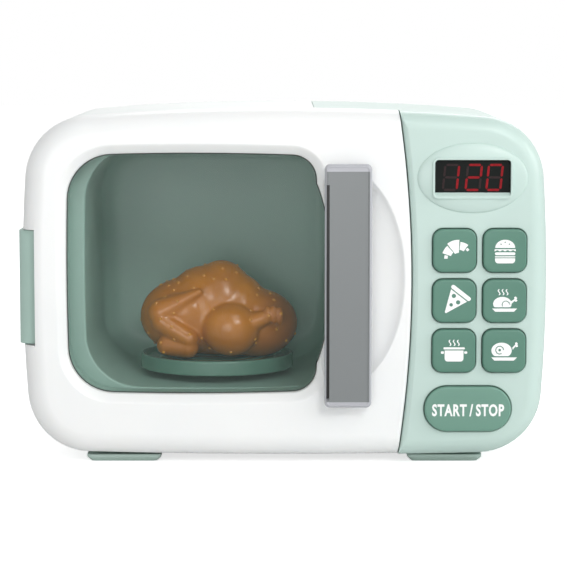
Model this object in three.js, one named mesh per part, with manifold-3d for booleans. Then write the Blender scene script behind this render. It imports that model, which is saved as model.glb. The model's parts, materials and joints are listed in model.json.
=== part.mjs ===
// Toy microwave: a moulded cabinet with a hinged door, push buttons, a geared turntable and a toy chicken.
// Millimetres, +Z up, the front faces -Y. Depths are measured backwards from the face of the door.
import * as THREE from 'three';
import { mergeVertices } from 'three/addons/utils/BufferGeometryUtils.js';
import Module from 'manifold-3d';

const wasm = await Module();
wasm.setup();

// Cabinet
const cabinetWidth = 280;
const cabinetHeight = 186;
const cabinetDepth = 156;
const cabinetCorner = 34;
const topCrown = 1400;
const bottomCrown = 4000;
const sideCrown = 800;
const frontRound = 12;
const panelRound = 9;
const rearRound = 8;
const wall = 2.5;
const rearCoverDepth = 14;
const seamX = 15.8;
const tongueReach = 4;
const tongueThickness = 1.6;

// Clearances, and the overrun of every cut
const seam = 0.3;
const doorGap = 0.6;
const buttonGap = 0.4;
const swingGap = 0.5;
const overrun = 5;
const weld = 1e-4;

// Feet
const footHeight = 4.5;
const footWidth = 40;
const footLength = 28;
const footTaper = 2;
const footInset = 53.5;
const footFrontDepth = 26;
const footRearDepth = 122;
const footPegRadius = 3;
const footPegLength = 6;

// Door
const doorDepth = 24;
const panelWidth = 72.4;
const doorEdgeRadius = 609;
const doorEdgeRound = 2;
const doorBackThickness = 2.5;
const doorBossRadius = 4;

// Window
const windowMarginLeft = 23.9;
const windowMarginRight = 49.4;
const windowMarginTop = 23.4;
const windowMarginBottom = 33.65;
const windowCorner = 24.5;
const windowRightCorner = 13.3;
const windowCrown = 1500;
const windowLip = 4.2;
const lipDepth = 4;
const flareInset = 9.6;
const flareHalfWidth = 16.5;
const flareDrop = 7.5;
const paneDepth = 7.2;
const paneThickness = 2;
const paneLap = 3;
const paneFrameThickness = 2.4;

// Finger scoop and handle
const scoopInset = 35.1;
const scoopRise = 3.4;
const scoopHalfWidth = 30.8;
const scoopMargin = 36.7;
const scoopDepth = 6;
const handleInset = 33.4;
const handleDrop = 0.9;
const handleWidth = 24.4;
const handleMargin = 29.2;
const handleThickness = 4.5;
const handleProud = 9.5;
const handleCorner = 2.7;
const handleBevel = 1.2;
const handleBorder = 2.4;
const handleFace = 0.3;
const handlePostWidth = 18;
const handlePostHeight = 8;
const handlePegRadius = 3;

// Hinge
const hingeReach = 6.9;
const hingeInset = 8.5;
const hingeKnuckle = 9.5;
const hingeProud = 1.6;
const hingeMargin = 62.5;
const hingeDrop = 2.2;
const hingeNotch = 7.3;
const hingeRoot = 12;
const hingeEar = 9;
const hingePinRadius = 2;

// Latch
const latchInset = 13.6;
const latchWidth = 5;
const latchHeight = 16;
const latchReach = 7;
const latchGap = 1;

// Cooking cavity
const cavityMarginLeft = 32.3;
const cavityMarginRight = 35.9;
const cavityMarginTop = 21;
const cavityRise = 34;
const cavityCorner = 29;
const cavityCrown = 1500;
const cavityDepth = 134;
const cavityCove = 12;
const cavityDraft = 1.5;
const cavityWall = 2;
const flangeThickness = 2.5;

// Control panel
const bulgeInset = 40.5;
const bulgeRise = 56.5;
const bulgeHalfWidth = 29.2;
const bulgeHalfHeight = 18.6;
const bulgeHeight = 3;
const lensWidth = 39.3;
const lensHeight = 18.6;
const lensCorner = 1.5;
const lensFrame = 1.6;
const lensFrameRise = 3;
const lensDepth = 2;
const lensFlange = 1.5;
const moduleWidth = 36;
const moduleHeight = 17;
const buttonSize = 22.9;
const buttonCorner = 5.3;
const buttonPitchX = 26.6;
const buttonPitchZ = 26.75;
const buttonInset = 49.8;
const buttonRise = 18.1;
const pillWidth = 46.2;
const pillHeight = 24;
const pillInset = 42.2;
const pillDrop = 66.6;
const buttonProud = 2.6;
const buttonRound = 0.9;
const buttonFlange = 1.5;
const buttonFlangeThickness = 1.5;
const buttonTravel = 1.5;
const stemRadius = 3;
const stemLength = 3.4;
const domeRadius = 4.2;
const domeHeight = 1;
const matThickness = 1;
const matMargin = 1.6;
const boardThickness = 1.6;
const boardWidth = 55;
const boardHeight = 143;
const boardInset = 37.5;
const boardRise = -1;
const boardPostRadius = 2.6;
const chipSize = 9;
const chipThickness = 1.6;

// Speaker and its grille
const speakerInset = 42;
const speakerRise = 36;
const speakerRadius = 20;
const speakerThickness = 7;
const speakerMagnetRadius = 9;
const speakerRim = 2;
const grilleSlotCount = 5;
const grilleSlotWidth = 2;
const grilleSlotPitch = 6;
const grilleRadius = 16;
const speakerSeat = 2;

// Battery box
const batteryRadius = 7.1;
const batteryLength = 50;
const batteryCount = 3;
const batteryPitch = 15.2;
const batteryNub = 1;
const batteryNubRadius = 2.6;
const batteryInset = 48;
const batteryMargin = 49;
const trayWall = 1.6;
const cradleDepth = 3.5;
const contactThickness = 0.6;
const contactWidth = 6;
const contactGap = 1;
const batteryCoverThickness = 3;
const batteryCoverLap = 2.5;
const batteryCoverCorner = 3;

// Turntable
const turntableDepth = 78.5;
const plateMargin = 26.7;
const plateHeight = 8;
const plateFloor = 2.2;
const plateRim = 2;
const plateRimRise = 2.4;
const plateLift = 4.5;
const hubRadius = 8;
const spindleRadius = 3;
const couplerRadius = 4.6;
const couplerLobes = 3;
const lobeShare = 0.12;

// Drive
const gearModule = 1.5;
const spindleTeeth = 26;
const reductionTeeth = 22;
const pinionTeeth = 10;
const pressureAngle = THREE.MathUtils.degToRad(20);
const gearThickness = 4;
const pinionThickness = 5;
const gearBacklash = 0.35;
const gearBore = 1.8;
const axleRadius = 1.5;
const reductionBearing = 0;
const motorBearing = THREE.MathUtils.degToRad(60);
const motorRadius = 12;
const motorHeight = 12.4;
const motorShaftRadius = 1;
const drivePlateThickness = 2;
const drivePlateRise = 5.6;
const drivePostRadius = 3.6;
const gearStep = 0.5;
const gearLift = 1;
const addendumShare = 0.85;
const dedendumShare = 1.2;
const bearingWall = 3;
const motorRingWall = 1.5;
const motorRingHeight = 3;
const drivePostReach = 7.2;
const drivePlateMargin = 14.4;

// Screws
const screwHeadRadius = 2.8;
const screwHeadHeight = 1.8;
const screwShankRadius = 1.3;
const screwLength = 9;
const screwWell = 9;
const screwWellWall = 1.5;
const screwPad = 2;
const screwInset = 5.9;
const flangeScrewInset = 15.2;
const housingPostRadius = 5;
const screwMargin = 41;
const housingBossLength = 30;

// Chicken
const chickenOverhang = 1;
const chickenHeight = 54;
const chickenWidth = 56;

// Places and radii on the chicken, as shares of half its length, half its width and its height
const bodyShares = [0.06, 0, 0.46, 0.84, 0.86, 0.46];
const breastShares = [0.02, 0, 0.66, 0.56, 0.6, 0.34];
const tailShares = [0.82, 0, 0.34, 0.18, 0.3, 0.22];
const neckShares = [-0.62, 0, 0.4, 0.24, 0.5, 0.3];
const thighShares = [0.12, 0.78, 0.31, 0.36, 0.36, 0.27];
const shankShares = [[0.3, 0.86, 0.36], [0.62, 0.84, 0.43]];
const shankRadiusShares = [0.16, 0.09];
const knobShares = [0.66, 0.84, 0.44, 0.11, 0.17, 0.1];
const wingShares = [[-0.4, 0.72, 0.66], [-0.84, 0.7, 0.32], [-0.42, 0.84, 0.14]];
const wingRadiusShares = [0.13, 0.13, 0.12];
const elbowShares = [-0.84, 0.7, 0.32, 0.15, 0.25, 0.14];

// Steps of curves
const outerCurve = { side: 2, corner: 6, crown: 2 };
const hollowCurve = { side: 1, corner: 3, crown: 1 };
const cornerSteps = 6;
const roundSteps = 4;
const hollowSteps = 2;
const smallSteps = 3;
const boreSteps = 8;
const screwSteps = 6;
const shaftSteps = 12;
const wheelSteps = 20;
const discSteps = 28;

// Places that follow from the sizes above
const halfWidth = cabinetWidth / 2;
const halfHeight = cabinetHeight / 2;
const midZ = footHeight + halfHeight;
const footSpreadX = halfWidth - footInset;
const doorEdgeX = halfWidth - panelWidth;
const housingFront = doorDepth + doorGap;
const flangeBack = housingFront + flangeThickness;
const rearSeam = cabinetDepth - rearCoverDepth;
const windowLeft = windowMarginLeft - halfWidth;
const windowRight = doorEdgeX - windowMarginRight;
const windowWidth = windowRight - windowLeft;
const windowX = (windowLeft + windowRight) / 2;
const windowHeight = cabinetHeight - windowMarginTop - windowMarginBottom;
const windowZ = midZ + (windowMarginBottom - windowMarginTop) / 2;
const flareX = windowRight - flareInset;
const flareHalfHeight = windowHeight / 2 - flareDrop;
const scoopX = doorEdgeX - scoopInset;
const scoopHalfHeight = halfHeight - scoopMargin;
const handleX = doorEdgeX - handleInset;
const handleHeight = cabinetHeight - 2 * handleMargin;
const hingeHeight = cabinetHeight - 2 * hingeMargin;
const latchX = doorEdgeX - latchInset;
const scoopZ = midZ + scoopRise;
const handleZ = midZ - handleDrop;
const hingeX = hingeReach - halfWidth;
const hingeY = doorDepth - hingeInset;
const hingeZ = midZ - hingeDrop;
const bulgeZ = midZ + bulgeRise;
const bulgeX = halfWidth - bulgeInset;
const buttonX = halfWidth - buttonInset;
const pillX = halfWidth - pillInset;
const boardX = halfWidth - boardInset;
const speakerX = halfWidth - speakerInset;
const speakerZ = midZ + speakerRise;
const batteryX = halfWidth - batteryInset;
const batteryZ = footHeight + batteryMargin;
const pillZ = midZ - pillDrop;
const cavityLeft = cavityMarginLeft - halfWidth;
const cavityRight = doorEdgeX - cavityMarginRight;
const cavityWidth = cavityRight - cavityLeft;
const cavityX = (cavityLeft + cavityRight) / 2;
const cavityHeight = cabinetHeight - cavityRise - cavityMarginTop;
const plateRadius = cavityWidth / 2 - plateMargin;
const chickenLength = 2 * (plateRadius + chickenOverhang);
const cavityFloor = footHeight + cavityRise;
const cavityZ = cavityFloor + cavityHeight / 2;
const footPegDepth = footLength / 2 - footTaper - footPegRadius;

const drivePlateZ = footHeight + drivePlateRise;
const drivePlateTop = drivePlateZ + drivePlateThickness;
const pinionRadius = (gearModule * pinionTeeth) / 2;
const reductionRadius = (gearModule * reductionTeeth) / 2;
const spindleGearRadius = (gearModule * spindleTeeth) / 2;
const firstCentres = spindleGearRadius + pinionRadius;
const secondCentres = reductionRadius + pinionRadius;
const reductionX = cavityX + firstCentres * Math.cos(reductionBearing);
const reductionY = turntableDepth + firstCentres * Math.sin(reductionBearing);
const motorX = reductionX + secondCentres * Math.cos(motorBearing);
const motorY = reductionY + secondCentres * Math.sin(motorBearing);
const reductionZ = drivePlateTop + seam + motorHeight + gearLift;
const upperGearZ = reductionZ + gearThickness + gearStep;

const looks = {
  white: { color: 0xf4f6f5, roughness: 0.35, metalness: 0 },
  mint: { color: 0xd1e6df, roughness: 0.35, metalness: 0 },
  sage: { color: 0xa0bab1, roughness: 0.4, metalness: 0 },
  green: { color: 0x628e7f, roughness: 0.4, metalness: 0 },
  plateGreen: { color: 0x5f8a77, roughness: 0.35, metalness: 0 },
  silver: { color: 0x8f9396, roughness: 0.3, metalness: 0.8 },
  steel: { color: 0xb8bcc0, roughness: 0.35, metalness: 1 },
  smoke: { color: 0x9fb0ab, roughness: 0.08, metalness: 0 },
  lens: { color: 0x423839, roughness: 0.12, metalness: 0 },
  board: { color: 0x2f6b45, roughness: 0.6, metalness: 0 },
  rubber: { color: 0xb9bcbc, roughness: 0.8, metalness: 0 },
  black: { color: 0x232325, roughness: 0.55, metalness: 0 },
  nylon: { color: 0xf0efe9, roughness: 0.5, metalness: 0 },
  brown: { color: 0x9e6a34, roughness: 0.45, metalness: 0 },
  cell: { color: 0x3c4a52, roughness: 0.4, metalness: 0.3 },
};

// Solids: a closed geometry becomes a manifold for joins and cuts, and goes back to a geometry
function solid(geometry) {
  const bare = geometry.clone();
  bare.deleteAttribute('normal');
  bare.deleteAttribute('uv');
  const merged = mergeVertices(bare, weld);
  const source = merged.index.array;
  const triangles = [];
  for (let i = 0; i < source.length; i += 3) {
    const [a, b, c] = [source[i], source[i + 1], source[i + 2]];
    if (a !== b && b !== c && c !== a) triangles.push(a, b, c);
  }
  return new wasm.Manifold(new wasm.Mesh({
    numProp: 3,
    vertProperties: new Float32Array(merged.attributes.position.array),
    triVerts: new Uint32Array(triangles),
  }));
}

function join(...solids) {
  return solids.reduce((whole, next) => whole.add(next));
}

function cut(whole, ...tools) {
  return tools.reduce((rest, tool) => rest.subtract(tool), whole);
}

function piece(name, shape, look) {
  const { vertProperties, numProp, triVerts } = shape.getMesh();
  const positions = new Float32Array(triVerts.length * 3);
  triVerts.forEach((vertex, i) => {
    for (let axis = 0; axis < 3; axis += 1) positions[3 * i + axis] = vertProperties[numProp * vertex + axis];
  });
  const geometry = new THREE.BufferGeometry();
  geometry.setAttribute('position', new THREE.BufferAttribute(positions, 3));
  geometry.computeVertexNormals();
  const mesh = new THREE.Mesh(geometry, new THREE.MeshStandardMaterial(looks[look]));
  mesh.name = name;
  return mesh;
}

function placed(mesh, x, y, z) {
  mesh.position.set(x, y, z);
  return mesh;
}

// Simple bodies: boxes by their limits, rods along Y and Z, and prisms of an outline
function box(x0, x1, y0, y1, z0, z1) {
  const geometry = new THREE.BoxGeometry(x1 - x0, y1 - y0, z1 - z0);
  return solid(geometry.translate((x0 + x1) / 2, (y0 + y1) / 2, (z0 + z1) / 2));
}

function rodY(x, z, radius, y0, y1, steps = boreSteps) {
  const geometry = new THREE.CylinderGeometry(radius, radius, y1 - y0, steps);
  return solid(geometry.translate(x, (y0 + y1) / 2, z));
}

function rodZ(x, y, radius, z0, z1, steps = boreSteps) {
  const geometry = new THREE.CylinderGeometry(radius, radius, z1 - z0, steps).rotateX(Math.PI / 2);
  return solid(geometry.translate(x, y, (z0 + z1) / 2));
}

function extruded(points, depth) {
  return new THREE.ExtrudeGeometry(new THREE.Shape(points), { depth, bevelEnabled: false });
}

function prismY(points, y0, y1) {
  return solid(extruded(points, y1 - y0).rotateX(Math.PI / 2).translate(0, y1, 0));
}

function prismZ(points, z0, z1) {
  return solid(extruded(points, z1 - z0).translate(0, 0, z0));
}

function revolveY(profile, steps = boreSteps) {
  const points = profile.map(([radius, height]) => new THREE.Vector2(radius, height));
  return solid(new THREE.LatheGeometry(points, steps));
}

function revolveZ(profile, steps = boreSteps) {
  const points = profile.map(([radius, height]) => new THREE.Vector2(radius, height));
  return solid(new THREE.LatheGeometry(points, steps).rotateX(Math.PI / 2));
}

// A loft through outlines of equal length, each at its own depth, front first
function loftGeometry(sections) {
  const count = sections[0].points.length;
  const positions = sections.flatMap(({ y, points }) => points.flatMap((p) => [p.x, y, p.y]));
  const index = [];
  const last = (sections.length - 1) * count;
  for (const [a, b, c] of THREE.ShapeUtils.triangulateShape(sections[0].points, [])) index.push(a, b, c);
  for (const [a, b, c] of THREE.ShapeUtils.triangulateShape(sections.at(-1).points, [])) {
    index.push(last + c, last + b, last + a);
  }
  for (let start = 0; start < last; start += count) {
    for (let i = 0; i < count; i += 1) {
      const a = start + i;
      const b = start + ((i + 1) % count);
      index.push(a, a + count, b, b, a + count, b + count);
    }
  }
  const geometry = new THREE.BufferGeometry();
  geometry.setAttribute('position', new THREE.Float32BufferAttribute(positions, 3));
  geometry.setIndex(index);
  return geometry;
}

function loftY(sections) {
  return solid(loftGeometry(sections));
}

function arcPoints(centre, radius, from, to, steps) {
  return Array.from({ length: steps + 1 }, (_, i) => {
    const angle = from + ((to - from) * i) / steps;
    return new THREE.Vector2(centre.x + radius * Math.cos(angle), centre.y + radius * Math.sin(angle));
  });
}

// One quarter of a crowned outline: a bowed side and a bowed top joined by a tangent corner
function crownedQuarter(halfW, halfH, sideR, topR, corner, steps) {
  const side = new THREE.Vector2(halfW - sideR, 0);
  const top = new THREE.Vector2(0, halfH - topR);
  const reach = side.distanceTo(top);
  const along = ((topR - corner) ** 2 - (sideR - corner) ** 2 + reach ** 2) / (2 * reach);
  const across = Math.sqrt((topR - corner) ** 2 - along ** 2);
  const unit = side.clone().sub(top).divideScalar(reach);
  const centres = [1, -1].map((turn) => new THREE.Vector2(
    top.x + unit.x * along - unit.y * across * turn,
    top.y + unit.y * along + unit.x * across * turn,
  ));
  const centre = centres.reduce((best, next) => (next.x + next.y > best.x + best.y ? next : best));
  const sideAngle = Math.atan2(centre.y - side.y, centre.x - side.x);
  const topAngle = Math.atan2(centre.y - top.y, centre.x - top.x);
  return [
    ...arcPoints(side, sideR, 0, sideAngle, steps.side),
    ...arcPoints(centre, corner, sideAngle, topAngle, steps.corner).slice(1),
    ...arcPoints(top, topR, topAngle, Math.PI / 2, steps.crown).slice(1),
  ];
}

// A closed crowned outline, set in by a parallel offset
function crownedOutline(form, inset = 0) {
  const halfW = form.width / 2 - inset;
  const halfH = form.height / 2 - inset;
  const quarter = (crown, corner) => crownedQuarter(
    halfW, halfH, form.side - inset, crown - inset, corner - inset, form.steps,
  );
  const right = form.rightCorner ?? form.corner;
  const upperLeft = quarter(form.top, form.corner);
  const lowerLeft = quarter(form.bottom, form.corner);
  const ring = [
    ...quarter(form.top, right),
    ...upperLeft.slice(0, -1).reverse().map((p) => new THREE.Vector2(-p.x, p.y)),
    ...lowerLeft.slice(1).map((p) => new THREE.Vector2(-p.x, -p.y)),
    ...quarter(form.bottom, right).slice(1, -1).reverse().map((p) => new THREE.Vector2(p.x, -p.y)),
  ];
  return ring.map((p) => new THREE.Vector2(p.x + form.x, p.y + form.z));
}

const cabinetForm = {
  x: 0, z: midZ, width: cabinetWidth, height: cabinetHeight,
  top: topCrown, bottom: bottomCrown, side: sideCrown, corner: cabinetCorner, steps: outerCurve,
};
const cabinetHollow = { ...cabinetForm, steps: hollowCurve };
const windowForm = {
  x: windowX, z: windowZ, width: windowWidth, height: windowHeight,
  top: windowCrown, bottom: windowCrown, side: windowCrown, corner: windowCorner,
  rightCorner: windowRightCorner, steps: outerCurve,
};
const cavityForm = {
  x: cavityX, z: cavityZ, width: cavityWidth, height: cavityHeight,
  top: cavityCrown, bottom: cavityCrown, side: cavityCrown, corner: cavityCorner,
  steps: outerCurve,
};
const cavityOuter = { ...cavityForm, steps: hollowCurve };

// A crowned block from front to back, with its front or back edge rounded
function crownedBlock(form, inset, front, back, roundFront = 0, roundBack = 0) {
  const sections = [];
  const steps = form === cabinetHollow ? hollowSteps : roundSteps;
  const ring = (y, extra) => sections.push({ y, points: crownedOutline(form, inset + extra) });
  for (let i = roundFront ? 0 : steps; i <= steps; i += 1) {
    const angle = (Math.PI / 2) * (1 - i / steps);
    ring(front + roundFront * (1 - Math.sin(angle)), roundFront * (1 - Math.cos(angle)));
  }
  for (let i = 0; i <= (roundBack ? steps : 0); i += 1) {
    const angle = (Math.PI / 2) * (i / steps);
    ring(back - roundBack * (1 - Math.sin(angle)), roundBack * (1 - Math.cos(angle)));
  }
  return loftY(sections);
}

function roundedOutline(x, z, width, height, corner, steps = smallSteps) {
  const halfW = width / 2 - corner;
  const halfH = height / 2 - corner;
  const corners = [[1, 1], [-1, 1], [-1, -1], [1, -1]];
  return corners.flatMap(([sx, sz], i) => arcPoints(
    new THREE.Vector2(x + sx * halfW, z + sz * halfH),
    corner,
    (Math.PI / 2) * i,
    (Math.PI / 2) * (i + 1),
    steps,
  ));
}

function ellipseOutline(x, z, halfW, halfH) {
  return Array.from({ length: discSteps }, (_, i) => {
    const angle = (2 * Math.PI * i) / discSteps;
    return new THREE.Vector2(x + halfW * Math.cos(angle), z + halfH * Math.sin(angle));
  });
}

function ellipsoid(x, y, z, halfX, halfY, halfZ, around = wheelSteps, down = boreSteps) {
  const geometry = new THREE.SphereGeometry(1, around, down).scale(halfX, halfY, halfZ);
  return solid(geometry.translate(x, y, z));
}

// Everything on the door's side of its bowed right edge, moved right by shift
function doorSide(shift, front, back, round = 0) {
  const reach = halfHeight + overrun;
  const angle = Math.asin(reach / doorEdgeRadius);
  const outline = (extra) => {
    const centre = new THREE.Vector2(doorEdgeX + shift + extra - doorEdgeRadius, midZ);
    return [
      ...arcPoints(centre, doorEdgeRadius, -angle, angle, 2 * roundSteps),
      new THREE.Vector2(-halfWidth - overrun, midZ + reach),
      new THREE.Vector2(-halfWidth - overrun, midZ - reach),
    ];
  };
  const sections = [{ y: front, points: outline(-round) }];
  if (round) {
    const edge = Math.abs(round);
    const half = edge * (1 - Math.SQRT1_2);
    sections.push({ y: half, points: outline(-Math.sign(round) * half) });
    sections.push({ y: edge, points: outline(0) });
  }
  sections.push({ y: back, points: outline(0) });
  return loftY(sections);
}

// The window's outline, with its flare under the handle, grown by a margin
function windowPrism(grow, front, back) {
  const flare = ellipseOutline(flareX, windowZ, flareHalfWidth + grow, flareHalfHeight + grow);
  return join(prismY(crownedOutline(windowForm, -grow), front, back), prismY(flare, front, back));
}

// The bevelled mouth of the window, wide at the door's face
function windowMouth() {
  const steps = [[-overrun, windowLip], [0, windowLip], [lipDepth, 0], [doorDepth + overrun, 0]];
  const flare = (grow) => ellipseOutline(flareX, windowZ, flareHalfWidth + grow, flareHalfHeight + grow);
  return join(
    loftY(steps.map(([y, grow]) => ({ y, points: crownedOutline(windowForm, -grow) }))),
    loftY(steps.map(([y, grow]) => ({ y, points: flare(grow) }))),
  );
}

// The door turns about a pin near its back left edge, so that edge is rounded about the pin
function hingeRelief(radius) {
  const centre = new THREE.Vector2(hingeX, hingeY);
  return prismZ([
    new THREE.Vector2(hingeX, doorDepth + overrun),
    new THREE.Vector2(-halfWidth - overrun, doorDepth + overrun),
    new THREE.Vector2(-halfWidth - overrun, hingeY),
    ...arcPoints(centre, radius, Math.PI, Math.PI / 2, roundSteps),
  ].reverse(), 0, footHeight + cabinetHeight + overrun);
}

const notchTop = hingeZ + hingeHeight / 2;
const notchBottom = hingeZ - hingeHeight / 2;
const handlePostRise = (handleHeight - handlePostHeight) / 2 - handleBevel;
const doorBosses = [
  [windowX - windowWidth / 2 - windowLip, windowZ + windowHeight / 2 + windowLip],
  [windowX - windowWidth / 2 - windowLip, windowZ - windowHeight / 2 - windowLip],
  [handleX + handlePostWidth / 2, windowZ + windowHeight / 2 + windowLip],
  [handleX + handlePostWidth / 2, windowZ - windowHeight / 2 - windowLip],
];
const doorBackFront = doorDepth - doorBackThickness;
const headRoom = screwHeadHeight + 2 * seam;
const doorPadFront = doorDepth - headRoom - screwPad;

function doorFrame() {
  const outer = crownedBlock(cabinetForm, 0, 0, doorDepth, frontRound)
    .intersect(doorSide(0, -overrun, doorDepth + overrun, doorEdgeRound));
  const scoop = ellipsoid(scoopX, 0, scoopZ, scoopHalfWidth, scoopDepth, scoopHalfHeight);
  const scoopShell = ellipsoid(
    scoopX, 0, scoopZ, scoopHalfWidth + wall, scoopDepth + wall, scoopHalfHeight + wall,
  );
  const padReach = handlePostWidth / 2 + wall;
  const pads = [1, -1].map((end) => box(
    handleX - padReach, handleX + padReach, -overrun, scoopDepth + overrun,
    handleZ + end * handlePostRise - handlePostHeight / 2 - wall,
    handleZ + end * handlePostRise + handlePostHeight / 2 + wall,
  ));
  const paneWall = windowPrism(paneLap + seam + wall, -overrun, doorBackFront - seam);
  const ears = box(
    -halfWidth, hingeX + hingeReach, hingeY - hingeReach, doorDepth,
    notchBottom - swingGap - hingeEar, notchTop + swingGap + hingeEar,
  );
  const bosses = join(...doorBosses.map(([x, z]) => rodY(x, z, doorBossRadius, 0, doorPadFront - seam)));
  const hollow = cut(
    crownedBlock(cabinetHollow, wall, wall, doorDepth + overrun, frontRound - wall)
      .intersect(doorSide(-wall, -overrun, doorDepth + 2 * overrun)),
    paneWall, scoopShell, ears, bosses,
  );
  const pegs = [1, -1].map((end) => rodY(
    handleX, handleZ + end * handlePostRise, handlePegRadius + seam, -overrun, wall + overrun,
  ));
  const bossBores = doorBosses.map(([x, z]) => rodY(
    x, z, screwShankRadius + seam, doorPadFront - screwLength, doorDepth,
  ));
  const notch = box(
    -halfWidth - overrun, hingeNotch - halfWidth, -overrun, doorDepth + overrun,
    notchBottom - swingGap, notchTop + swingGap,
  );
  const knuckleRoom = rodZ(
    hingeX, hingeY, hingeKnuckle + swingGap, notchBottom - swingGap, notchTop + swingGap, discSteps,
  );
  const pinBore = rodZ(
    hingeX, hingeY, hingePinRadius + seam, notchBottom - hingeEar - overrun, notchTop + hingeEar + overrun,
  );
  return piece('door_frame', cut(
    outer, hollow, windowMouth(), windowPrism(paneLap + seam, paneDepth - seam / 2, doorDepth + overrun),
    cut(scoop, ...pads), ...pegs, ...bossBores, notch, knuckleRoom, pinBore, hingeRelief(hingeInset),
  ), 'white');
}

function doorWindow() {
  return piece('door_window', windowPrism(paneLap, paneDepth, paneDepth + paneThickness), 'smoke');
}

// The stepped hole that sinks a screw head below a face at depth y; the head looks to the side given
function screwRoom(x, z, y, facing) {
  const reach = screwLength + overrun;
  const head = facing > 0 ? [y - headRoom, y + overrun] : [y - overrun, y + headRoom];
  const shank = facing > 0 ? [y - reach, y] : [y, y + reach];
  return join(
    rodY(x, z, screwHeadRadius + seam, ...head),
    rodY(x, z, screwShankRadius + seam, ...shank),
  );
}

// The door's back frame closes the shell, clamps the pane with a rim and carries the latch
function doorBackFrame() {
  const inset = wall + seam;
  const plate = crownedBlock(cabinetHollow, inset, doorBackFront, doorDepth)
    .intersect(doorSide(-inset, 0, doorDepth + overrun));
  const rim = windowPrism(paneLap - seam, paneDepth + paneThickness + seam, doorDepth);
  const opening = windowPrism(paneLap - seam - paneFrameThickness, 0, doorDepth + overrun);
  const latch = box(
    latchX - latchWidth / 2, latchX + latchWidth / 2, doorDepth - seam, doorDepth + latchReach,
    midZ - latchHeight / 2, midZ + latchHeight / 2,
  );
  const room = box(
    -halfWidth, hingeX + hingeKnuckle + 2 * swingGap, 0, doorDepth + overrun,
    notchBottom - swingGap - hingeEar - seam, notchTop + swingGap + hingeEar + seam,
  );
  const pads = doorBosses.map(([x, z]) => rodY(x, z, doorBossRadius, doorPadFront, doorDepth));
  return piece('door_back_frame', cut(
    join(plate, rim, latch, ...pads), opening, room, hingeRelief(hingeInset),
    ...doorBosses.map(([x, z]) => screwRoom(x, z, doorDepth, 1)),
  ), 'sage');
}

// The handle is a flat bevelled bar on two end posts, pegged into the door's face
function doorHandle() {
  const face = -handleProud;
  const ring = (inset) => roundedOutline(
    handleX, handleZ, handleWidth - 2 * inset, handleHeight - 2 * inset, handleCorner,
  );
  const bar = loftY([
    { y: face, points: ring(handleBevel) },
    { y: face + handleBevel, points: ring(0) },
    { y: face + handleThickness, points: ring(0) },
  ]);
  const groove = prismY(ring(handleBorder), face - overrun, face + handleFace);
  const posts = [1, -1].flatMap((end) => {
    const z = handleZ + end * handlePostRise;
    return [
      prismY(
        roundedOutline(handleX, z, handlePostWidth, handlePostHeight, handleCorner),
        face + handleThickness / 2, -seam,
      ),
      rodY(handleX, z, handlePegRadius, -handleThickness, wall + seam),
    ];
  });
  return piece('door_handle', cut(join(bar, ...posts), groove), 'silver');
}

function hingeBlock() {
  const left = -halfWidth - hingeProud;
  const root = box(left, hingeX + hingeReach / 2, hingeY, housingFront + hingeRoot, notchBottom, notchTop);
  const knuckle = cut(
    rodZ(hingeX, hingeY, hingeKnuckle, notchBottom, notchTop, discSteps),
    box(left - overrun, left, -overrun, doorDepth + overrun, 0, midZ + cabinetHeight),
  );
  const bore = rodZ(hingeX, hingeY, hingePinRadius + seam, 0, midZ + cabinetHeight);
  return piece('hinge_block', cut(join(root, knuckle), bore), 'sage');
}

function hingePin() {
  const reach = hingeHeight / 2 + hingeEar;
  const pin = piece('hinge_pin', rodZ(0, 0, hingePinRadius, -reach, reach), 'steel');
  return placed(pin, hingeX, hingeY, hingeZ);
}

// Screws keep one distance from the bowed walls beside them
const bow = (crown, reach) => crown - Math.sqrt(crown ** 2 - reach ** 2);
const screwRise = halfHeight - screwMargin;
const screwReach = halfWidth - bow(sideCrown, screwRise) - screwInset;
const flangeScrewX = doorEdgeX - flangeScrewInset;
const rearBosses = [-1, 1].flatMap((side) => [-1, 1].map((end) => [
  side * screwReach, midZ + end * screwRise,
]));
const flangeBosses = [[-1, bottomCrown], [1, topCrown]].flatMap(([end, crown]) => [
  [-screwReach, midZ + end * screwRise],
  [flangeScrewX, midZ + end * (halfHeight - bow(crown, flangeScrewX) - screwInset - wall / 2)],
]);
const flangePadBack = housingFront + headRoom + screwPad;

// Posts along the walls take the rear screws, and short ones behind the flange take the front screws
function housingPosts(side) {
  const own = ([x]) => x * side > 0;
  return [
    ...rearBosses.filter(own).map(([x, z]) => rodY(
      x, z, housingPostRadius, rearSeam - housingBossLength, rearSeam,
    )),
    ...flangeBosses.filter(own).map(([x, z]) => rodY(
      x, z, housingPostRadius, flangePadBack + seam, flangePadBack + screwLength + wall,
    )),
  ];
}

function housingBores() {
  return [
    ...rearBosses.map(([x, z]) => rodY(
      x, z, screwShankRadius + seam, rearSeam - screwLength, rearSeam + overrun,
    )),
    ...flangeBosses.map(([x, z]) => rodY(
      x, z, screwShankRadius + seam, housingFront, flangePadBack + screwLength,
    )),
  ];
}

function footHoles() {
  return [-1, 1].flatMap((side) => [footFrontDepth, footRearDepth].map((y) => rodZ(
    side * footSpreadX, y + footPegDepth, footPegRadius + seam, 0, footHeight + footPegLength + wall,
  )));
}

function tongue(inset, thickness) {
  const ring = cut(
    crownedBlock(cabinetHollow, inset, flangeBack + overrun, rearSeam - overrun),
    crownedBlock(cabinetHollow, inset + thickness, flangeBack, rearSeam),
  );
  return ring.intersect(box(
    seamX - tongueReach, seamX + tongueReach, 0, cabinetDepth, 0, footHeight + cabinetHeight + overrun,
  ));
}

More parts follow.
